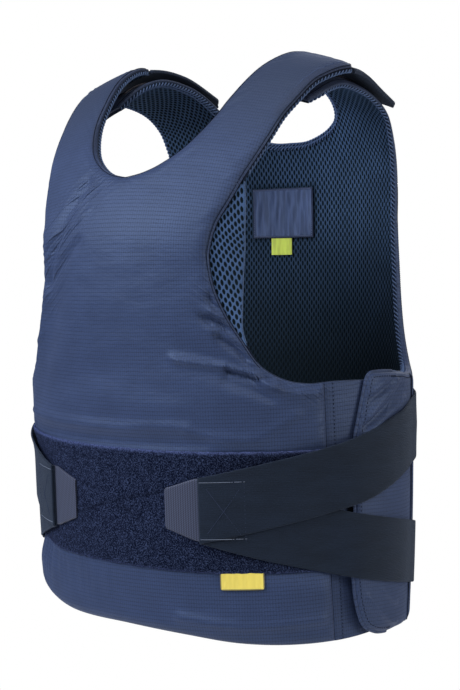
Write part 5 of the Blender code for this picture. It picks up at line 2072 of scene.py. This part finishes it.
@dataclass
class Bands:
    """Two elastic bands on each side, sewn together onto a hook tab at the front."""

    body: Body
    girth: Girth
    start: float = 0.0875
    end: float = 0.460
    half_width: float = 0.030
    thick: float = 0.0016
    tab_thick: float = 0.0018
    soft_edge: float = 0.0014
    nose: float = 0.053
    corner: float = 0.004
    tab_end: float = 0.124
    halves: Sizes = (0.0160, 0.0195, 0.0285)
    box: tuple[float, float, float, float] = (0.0895, 0.1290, -0.4562, -0.4045)
    box_slope: float = 0.0015
    cross_inset: Sizes = (0.006, 0.005, 0.006)
    box_stitch: Sizes = (0.0017, 0.0040, 0.00048)
    cross_stitch: Sizes = (0.0014, 0.0040, 0.00050)
    end_stitch: Sizes = (0.0023, 0.0036, 0.00055)
    end_rows: Range = (0.004, 0.012)
    end_heights: Range = (-0.3518, -0.4912)
    end_half: float = 0.028
    elastic: Material = field(init=False)
    hooks: Material = field(init=False)
    grey_thread: Material = field(init=False)
    dark_thread: Material = field(init=False)

    def __post_init__(self) -> None:
        """Make the finishes."""
        self.elastic, self.hooks = Elastic().make(), HookPlastic().make()
        self.grey_thread = Thread("grey_thread", (0.150, 0.185, 0.270), 0.8, 0.0).make()
        self.dark_thread = Thread("band_thread", (0.022, 0.032, 0.070)).make()

    def solid(self, name: str, cut: Pattern, base: Array, thick: float, side: Side,
              finish: Material) -> bpy.types.Object:
        """Close a cut in the band's own places into a thin piece with soft edges.

        Args:
            name: the piece's name.
            cut: the cut.
            base: distance outwards of its inner side at each place.
            thick: its thickness.
            side: which side of the body.
            finish: its material.

        Returns:
            The piece.
        """
        q, z = cut.points.T
        rim = cut.points[cut.rim()[:, 0]]
        away = np.abs(cut.points[:, None, :] - rim[None]).max(axis=-1).min(axis=1)
        full = thick * (0.55 + 0.45 * quarter_round(away, self.soft_edge))
        inner, outer = (self.girth.place(q, z, w, side) for w in (base, base + full))
        return cloth_piece(name, cut, inner, outer, finish)

    def band(self, cut: BandCut, side: Side) -> None:
        """One band, from its sewn end on the tab to its sewn end on the back.

        Args:
            cut: the band's run.
            side: which side of the body.
        """
        q = np.concatenate([[self.start, self.start + 0.0006],
                            np.linspace(self.start + 0.002, self.end - 0.002, 120),
                            [self.end - 0.0006, self.end]])
        across = np.concatenate([[0.0, 0.01, 0.025], np.linspace(0.06, 0.94, 12), [0.975, 0.99, 1.0]])
        pattern = stripe(q, smooth_through(*np.array(cut.middle).T, q), self.half_width, across)
        base = np.interp(pattern.points[:, 0], *np.array(cut.lift).T)
        name = f"elastic_band_{cut.name}_{side.word}"
        piece = self.solid(name, pattern, base, self.thick, side, self.elastic)
        finished(piece, "elastic", f"elastic_{cut.name}_{side.word}")

    def tab(self, side: Side) -> None:
        """The hook tab: a straight nose with clipped corners that widens to the band's width.

        Args:
            side: which side of the body.
        """
        nose, mid, full = self.halves
        straight = self.nose + self.corner
        turn = np.linspace(0.0, np.pi / 2, 8)
        q = np.concatenate([self.nose + self.corner * (1.0 - np.cos(turn)),
                            np.linspace(straight, self.tab_end, 30)[1:]])
        half = np.interp(q, [straight, self.start - self.corner, self.tab_end], [mid, full, full])
        half[:8] = nose + (mid - nose) * np.sin(turn)
        portions = np.concatenate([[0.0, 0.012, 0.03], np.linspace(0.07, 0.93, 14), [0.97, 0.988, 1.0]])
        cut = stripe(q, UPPER_BAND.middle[0][1], half, portions)
        base = np.full(len(cut.points), self.body.skin_gap)
        piece = self.solid(f"hook_plate_{side.word}", cut, base, self.tab_thick, side, self.hooks)
        finished(piece, "hook_tab", f"hook_tab_{side.word}")

    def sewn(self, name: str, lines: list[Rows], lift: float, side: Side, finish: Material,
             sizes: Sizes) -> None:
        """Rows of stitches on the bands.

        Args:
            name: the piece's name.
            lines: lines in the band's own places.
            lift: distance outwards from the girth.
            side: which side of the body.
            finish: the thread's material.
            sizes: a stitch's length, its pitch and its thickness.
        """
        parts = []
        for line in lines:
            q, z = evenly(np.array(line), 0.0015).T
            path = self.girth.place(q, z, lift, side)
            parts.append(stitches(path, self.girth.place(q, z, lift + 1.0, side) - path, *sizes))
        finished_parts(f"{name}_{side.word}", parts, finish, "elastic")

    def build(self) -> None:
        """Make both sides."""
        left, right, bottom, top = self.box
        from_left, from_right, from_side = self.cross_inset
        inner_left, inner_right, inner_bottom, inner_top = (left + from_left, right - from_right,
                                                            bottom + from_side, top - from_side)
        box = [[(left, z), (right, z + self.box_slope)] for z in (top, bottom)]
        cross = [[(right, top), (right, bottom)], [(inner_left, inner_top), (inner_right, inner_bottom)],
                 [(inner_left, inner_bottom), (inner_right, inner_top)]]
        ends = [[(self.end - d, z - self.end_half), (self.end - d, z + self.end_half)]
                for d in self.end_rows for z in self.end_heights]
        for side in Side:
            self.tab(side)
            self.band(LOWER_BAND, side)
            self.band(UPPER_BAND, side)
            lift = UPPER_BAND.lift[0][1] + self.thick
            self.sewn("box_stitching", box, lift, side, self.grey_thread, self.box_stitch)
            self.sewn("cross_stitching", cross, lift, side, self.dark_thread, self.cross_stitch)
            self.sewn("end_stitching", ends, UPPER_BAND.lift[-1][1] + self.thick, side, self.dark_thread,
                      self.end_stitch)


@dataclass
class Shoulders:
    """The tongue on each front strap, and the loops under it on the back strap."""

    body: Body
    tongue_s: Range = (0.095, 0.161)
    tongue_v: Range = (0.6313, 0.7415)
    slant: float = 0.009
    neck_slant: float = 0.018
    tip_length: float = 0.012
    tip_inset: float = 0.008
    thick: float = 0.0040
    soft_edge: float = 0.003
    stitch: Sizes = (0.0021, 0.0032, 0.00055)
    stitch_inset: float = 0.0038
    loop_s: Range = (0.098, 0.130)
    loop_v: Range = (0.560, 0.664)
    loop_thick: float = 0.0012
    loop_rough: float = 0.00014
    seed: int = 5
    finish: Material = field(init=False)
    thread: Material = field(init=False)
    loops: Material = field(init=False)

    def __post_init__(self) -> None:
        """Make the finishes."""
        self.finish = Elastic("tongue_cloth", (0.0096, 0.0150, 0.0320), 0.0022, 0.0018).make()
        self.thread = Thread("tongue_thread", (0.050, 0.062, 0.110)).make()
        self.loops = LoopPile("shoulder_pile", (0.050, 0.052, 0.070), (0.120, 0.125, 0.160)).make()

    def edges(self, v: Array, inset: float) -> tuple[Array, Array]:
        """The tongue's two long edges at heights v, moved in by a distance.

        Args:
            v: heights on the pattern.
            inset: how far they are moved in.

        Returns:
            Both edges.
        """
        tip = self.tip_inset * ease(v, self.tongue_v[1] - self.tip_length, self.tongue_v[1]) + inset
        along = (v - self.tongue_v[0]) / (self.tongue_v[1] - self.tongue_v[0])
        near = self.tongue_s[0] - self.neck_slant * ease(along, -0.3, 0.7) + tip
        return np.stack([near, v], 1), np.stack([self.tongue_s[1] - self.slant * along - tip, v], 1)

    def tongue(self, side: Side) -> None:
        """One tongue: a thin pad with soft edges, and its stitching.

        Args:
            side: which side of the body.
        """
        low, high = self.edges(np.linspace(*self.tongue_v, 64), 0.0)
        cut = Pattern([ruled(low, high, crowded(31, 0.8))])
        rim = np.concatenate([low, high[::-1], low[:1]])
        full = self.thick * (0.5 + 0.5 * quarter_round(distance_to(cut.points, rim), self.soft_edge))
        s, v = (cut.points * [side.sign, 1.0]).T
        form = self.body.front
        piece = cloth_piece(f"tongue_{side.word}", cut, form.place(s, v, 0.0), form.place(s, v, full),
                            self.finish)
        finished(piece, "tongue", f"shoulder_tongue_{side.word}")
        v = np.linspace(self.tongue_v[0] + 0.002, self.tongue_v[1] - 0.004, 40)
        low, high = self.edges(v, self.stitch_inset)
        rows = [stitches(*laid_evenly(form, line * [side.sign, 1.0], self.thick, 0.0015)[1:], *self.stitch)
                for line in (low, high, np.stack([low[-1], high[-1]]))]
        finished_parts(f"tongue_stitching_{side.word}", rows, self.thread, "tongue")

    def strip(self, side: Side) -> None:
        """The loops on one back strap.

        Args:
            side: which side of the body.
        """
        cut = rectangle(self.loop_s, self.loop_v, 34, 104)
        base = self.body.back_outer(cut.points) + self.body.skin_gap
        rough = np.random.default_rng(self.seed).normal(size=len(base)) * self.loop_rough
        s, v = (cut.points * [side.sign, 1.0]).T
        form, flat = self.body.back, np.zeros(len(base))
        piece = cloth_piece(f"shoulder_pile_{side.word}", cut, form.place(s, v, base),
                            form.place(s, v, base + self.loop_thick + rough), self.loops,
                            {"border": flat, "crease": flat}, sharp=75.0)
        finished(piece, "loop_pile", f"shoulder_loop_{side.word}")

    def build(self) -> None:
        """Make both shoulders."""
        for side in Side:
            self.tongue(side)
            self.strip(side)


def box_line(s_range: Range, v_range: Range) -> Array:
    """A closed line round a rectangle of the pattern, from its upper left corner down."""
    (left, right), (low, high) = s_range, v_range
    return np.array([(left, high), (left, low), (right, low), (right, high), (left, high)])


@dataclass(frozen=True)
class Patch:
    """One label: its name, its two ranges on the pattern, where it lies and how it looks."""

    name: str
    s_range: Range
    v_range: Range
    finish: Satin
    slot: str
    node: str
    rests_on: str
    waves: float
    border: float = 0.0
    outside: bool = False


@dataclass
class Labels:
    """The satin label and the green size tag on the back's mesh, and the yellow tag on the front."""

    body: Body
    label_s: Range = (-0.0500, 0.0272)
    label_v: Range = (0.3842, 0.4365)
    size_s: Range = (-0.0270, -0.0010)
    size_v: Range = (0.3660, 0.3835)
    front_s: Range = (0.100, 0.138)
    front_v: Range = (0.0565, 0.0726)
    gap: float = 0.0011
    thick: float = 0.0010
    step: float = 0.0004
    corner: float = 0.0022
    stitch: Sizes = (0.0016, 0.0025, 0.0005)
    stitch_inset: float = 0.0016
    stitch_lift: float = 0.0003
    stitch_spacing: float = 0.0008
    flat_rim: Range = (0.0005, 0.005)

    def patch(self, label: Patch) -> None:
        """One label: a thin sheet with upright waves in it.

        Args:
            label: what is made.
        """
        (left, right), (low, high) = label.s_range, label.v_range
        wide, tall = right - left, high - low
        cut = rectangle(label.s_range, label.v_range, int(wide / self.step), int(tall / self.step),
                        self.corner if label.outside else 0.0)
        s, v = cut.points.T
        a, b = (s - left) / wide, (v - low) / tall
        inside = np.minimum(np.minimum(s - left, right - s), np.minimum(v - low, high - v))
        wave = sum(share * np.sin(2.0 * np.pi * (count * a + shift + bend * np.sin(rate * b + start)))
                   for count, shift, bend, rate, start, share in LABEL_WAVES)
        wave = label.waves * wave * ease(inside, *self.flat_rim)
        if label.outside:
            form, inner = self.body.front, self.body.front_outer(cut.points) + self.body.skin_gap
            outer = inner + self.thick + wave
        else:
            form, inner, outer = self.body.back, -self.gap - self.thick + wave, np.full(len(s), -self.gap)
        piece = cloth_piece(label.name, cut, form.place(s, v, inner), form.place(s, v, outer),
                            label.finish.make(), {"border": (inside < label.border).astype(float)})
        finished(piece, label.slot, label.node)

    def build(self) -> None:
        """Make the three labels, all bare, and the satin label's stitches."""
        navy = Satin("label_satin", (0.062, 0.096, 0.215), (0.026, 0.040, 0.098), 0.30, (0.6, 0.75, 1.0))
        green = Satin("size_satin", (0.640, 0.800, 0.125))
        # The yellow tag's darker olive border is a painted shadow round its edge
        yellow = Satin("front_satin", (0.720, 0.620, 0.130), (0.190, 0.175, 0.075), 0.05)
        self.patch(Patch("inner_label", self.label_s, self.label_v, navy, "satin_label", "back_label",
                         "back_net", 0.00085, 0.0024))
        self.patch(Patch("size_label", self.size_s, self.size_v, green, "green_tag", "size_tag",
                         "back_net", 0.00015))
        # Its border width sets that painted edge shadow
        self.patch(Patch("front_label", self.front_s, self.front_v, yellow, "yellow_tag", "front_tag",
                         "front_cloth", 0.00010, 0.0009, True))
        (left, right), (low, high), inset = self.label_s, self.label_v, self.stitch_inset
        line = box_line((left + inset, right - inset), (low + inset, high - inset))
        _, path, out = laid_evenly(self.body.back, line, -self.gap - self.thick - self.stitch_lift,
                                   self.stitch_spacing)
        thread = Thread("label_thread", (0.100, 0.135, 0.260), 0.6).make()
        finished_parts("label_stitching", [stitches(path, -out, *self.stitch)], thread, "satin_label")


@dataclass
class Studio:
    """Camera, lights and floor. The camera looks slightly down from the wearer's left front."""

    azimuth: float = 38.0
    distance: float = 1.650
    focal_px: float = 1650.0
    height: float = -0.2294
    aside: float = 0.011
    horizon_px: float = 57.0
    frame_height_px: float = 690.0
    sensor: float = 36.0
    floor_z: float = -1.25
    floor_half: float = 1.6
    ambient: float = 0.10
    clip: Range = (0.05, 60.0)
    middle_z: float = -0.28

    def camera(self) -> None:
        """Place the camera as the photograph was taken."""
        data = bpy.data.cameras.new("camera")
        data.sensor_width = self.sensor
        data.lens = self.focal_px / self.frame_height_px * self.sensor
        data.clip_start, data.clip_end = self.clip
        made = bpy.data.objects.new("camera", data)
        turn = math.radians(self.azimuth)
        tilt = math.atan(self.horizon_px / self.focal_px)
        made.location = (math.sin(turn) * self.distance + self.aside * math.cos(turn),
                         -math.cos(turn) * self.distance + self.aside * math.sin(turn), self.height)
        made.rotation_euler = (math.pi / 2.0 - tilt, 0.0, turn)
        bpy.context.scene.collection.objects.link(made)
        bpy.context.scene.camera = made

    def softbox(self, name: str, azimuth: float, elevation: float, distance: float, size: float,
                power: float, colour: Colour = WHITE) -> None:
        """One square soft light that looks at the middle of the vest.

        Args:
            name: its name.
            azimuth: where it stands, in degrees round the vest from its front.
            elevation: degrees above the vest's middle.
            distance: how far from it.
            size: its side.
            power: watts.
            colour: its tint.
        """
        data = bpy.data.lights.new(name, "AREA")
        data.shape, data.size, data.energy, data.color = "SQUARE", size, power, colour
        made = bpy.data.objects.new(name, data)
        a, e = math.radians(azimuth), math.radians(elevation)
        away = np.array([math.sin(a) * math.cos(e), -math.cos(a) * math.cos(e), math.sin(e)])
        made.location = away * distance + [0.0, 0.0, self.middle_z]
        made.rotation_euler = (math.pi / 2.0 - e, 0.0, a)
        bpy.context.scene.collection.objects.link(made)

    def surroundings(self) -> None:
        """White surroundings that give only a part of their brightness as light."""
        world = bpy.data.worlds.new("studio")
        bpy.context.scene.world = world
        world.use_nodes = True
        tree = world.node_tree
        shade = tree.nodes["Background"]
        shade.inputs["Color"].default_value = (1.0, 1.0, 1.0, 1.0)
        seen = tree.nodes.new("ShaderNodeLightPath").outputs["Is Camera Ray"]
        amount = tree.nodes.new("ShaderNodeMapRange")
        tree.links.new(seen, amount.inputs[0])
        amount.inputs[3].default_value, amount.inputs[4].default_value = self.ambient, 1.0
        tree.links.new(amount.outputs[0], shade.inputs["Strength"])

    def build(self) -> None:
        """Camera, lights, pale surroundings and floor."""
        self.camera()
        self.softbox("key", -24.0, 28.0, 2.1, 1.5, 50.0)
        self.softbox("front", 52.0, 34.0, 2.6, 0.9, 18.0, (1.0, 0.88, 0.72))
        self.softbox("fill", 104.0, 10.0, 2.6, 1.6, 36.0, (1.0, 0.90, 0.76))
        self.softbox("top", 10.0, 72.0, 2.4, 1.2, 12.0, (1.0, 0.94, 0.86))
        self.softbox("back", 190.0, 30.0, 2.8, 2.0, 14.0)
        self.surroundings()
        bpy.context.scene.view_settings.view_transform = "Standard"
        size = self.floor_half
        corners = np.array([(-size, -size, self.floor_z), (size, -size, self.floor_z),
                            (size, size, self.floor_z), (-size, size, self.floor_z)])
        paint = Nodes("floor_paint")
        colour = paint.varied(paint.noise(paint.in_space(), 6.0), WHITE, 0.90, 0.93)
        floor = make_piece("floor", corners, [np.array([[0, 1, 2, 3]])], paint.surface(colour, 0.9, 0.1))


def main() -> None:
    """Build the vest and the studio."""
    logging.basicConfig(level=logging.INFO, format="%(message)s")
    body = Body()
    panels = Panels(body)
    panels.build()
    Linings(body).build()
    Trims(body, panels.cloth).build()
    LoopField(body).build()
    Bands(body, Girth(body)).build()
    Shoulders(body).build()
    Labels(body).build()
    Studio().build()


if __name__ == "__main__":
    main()
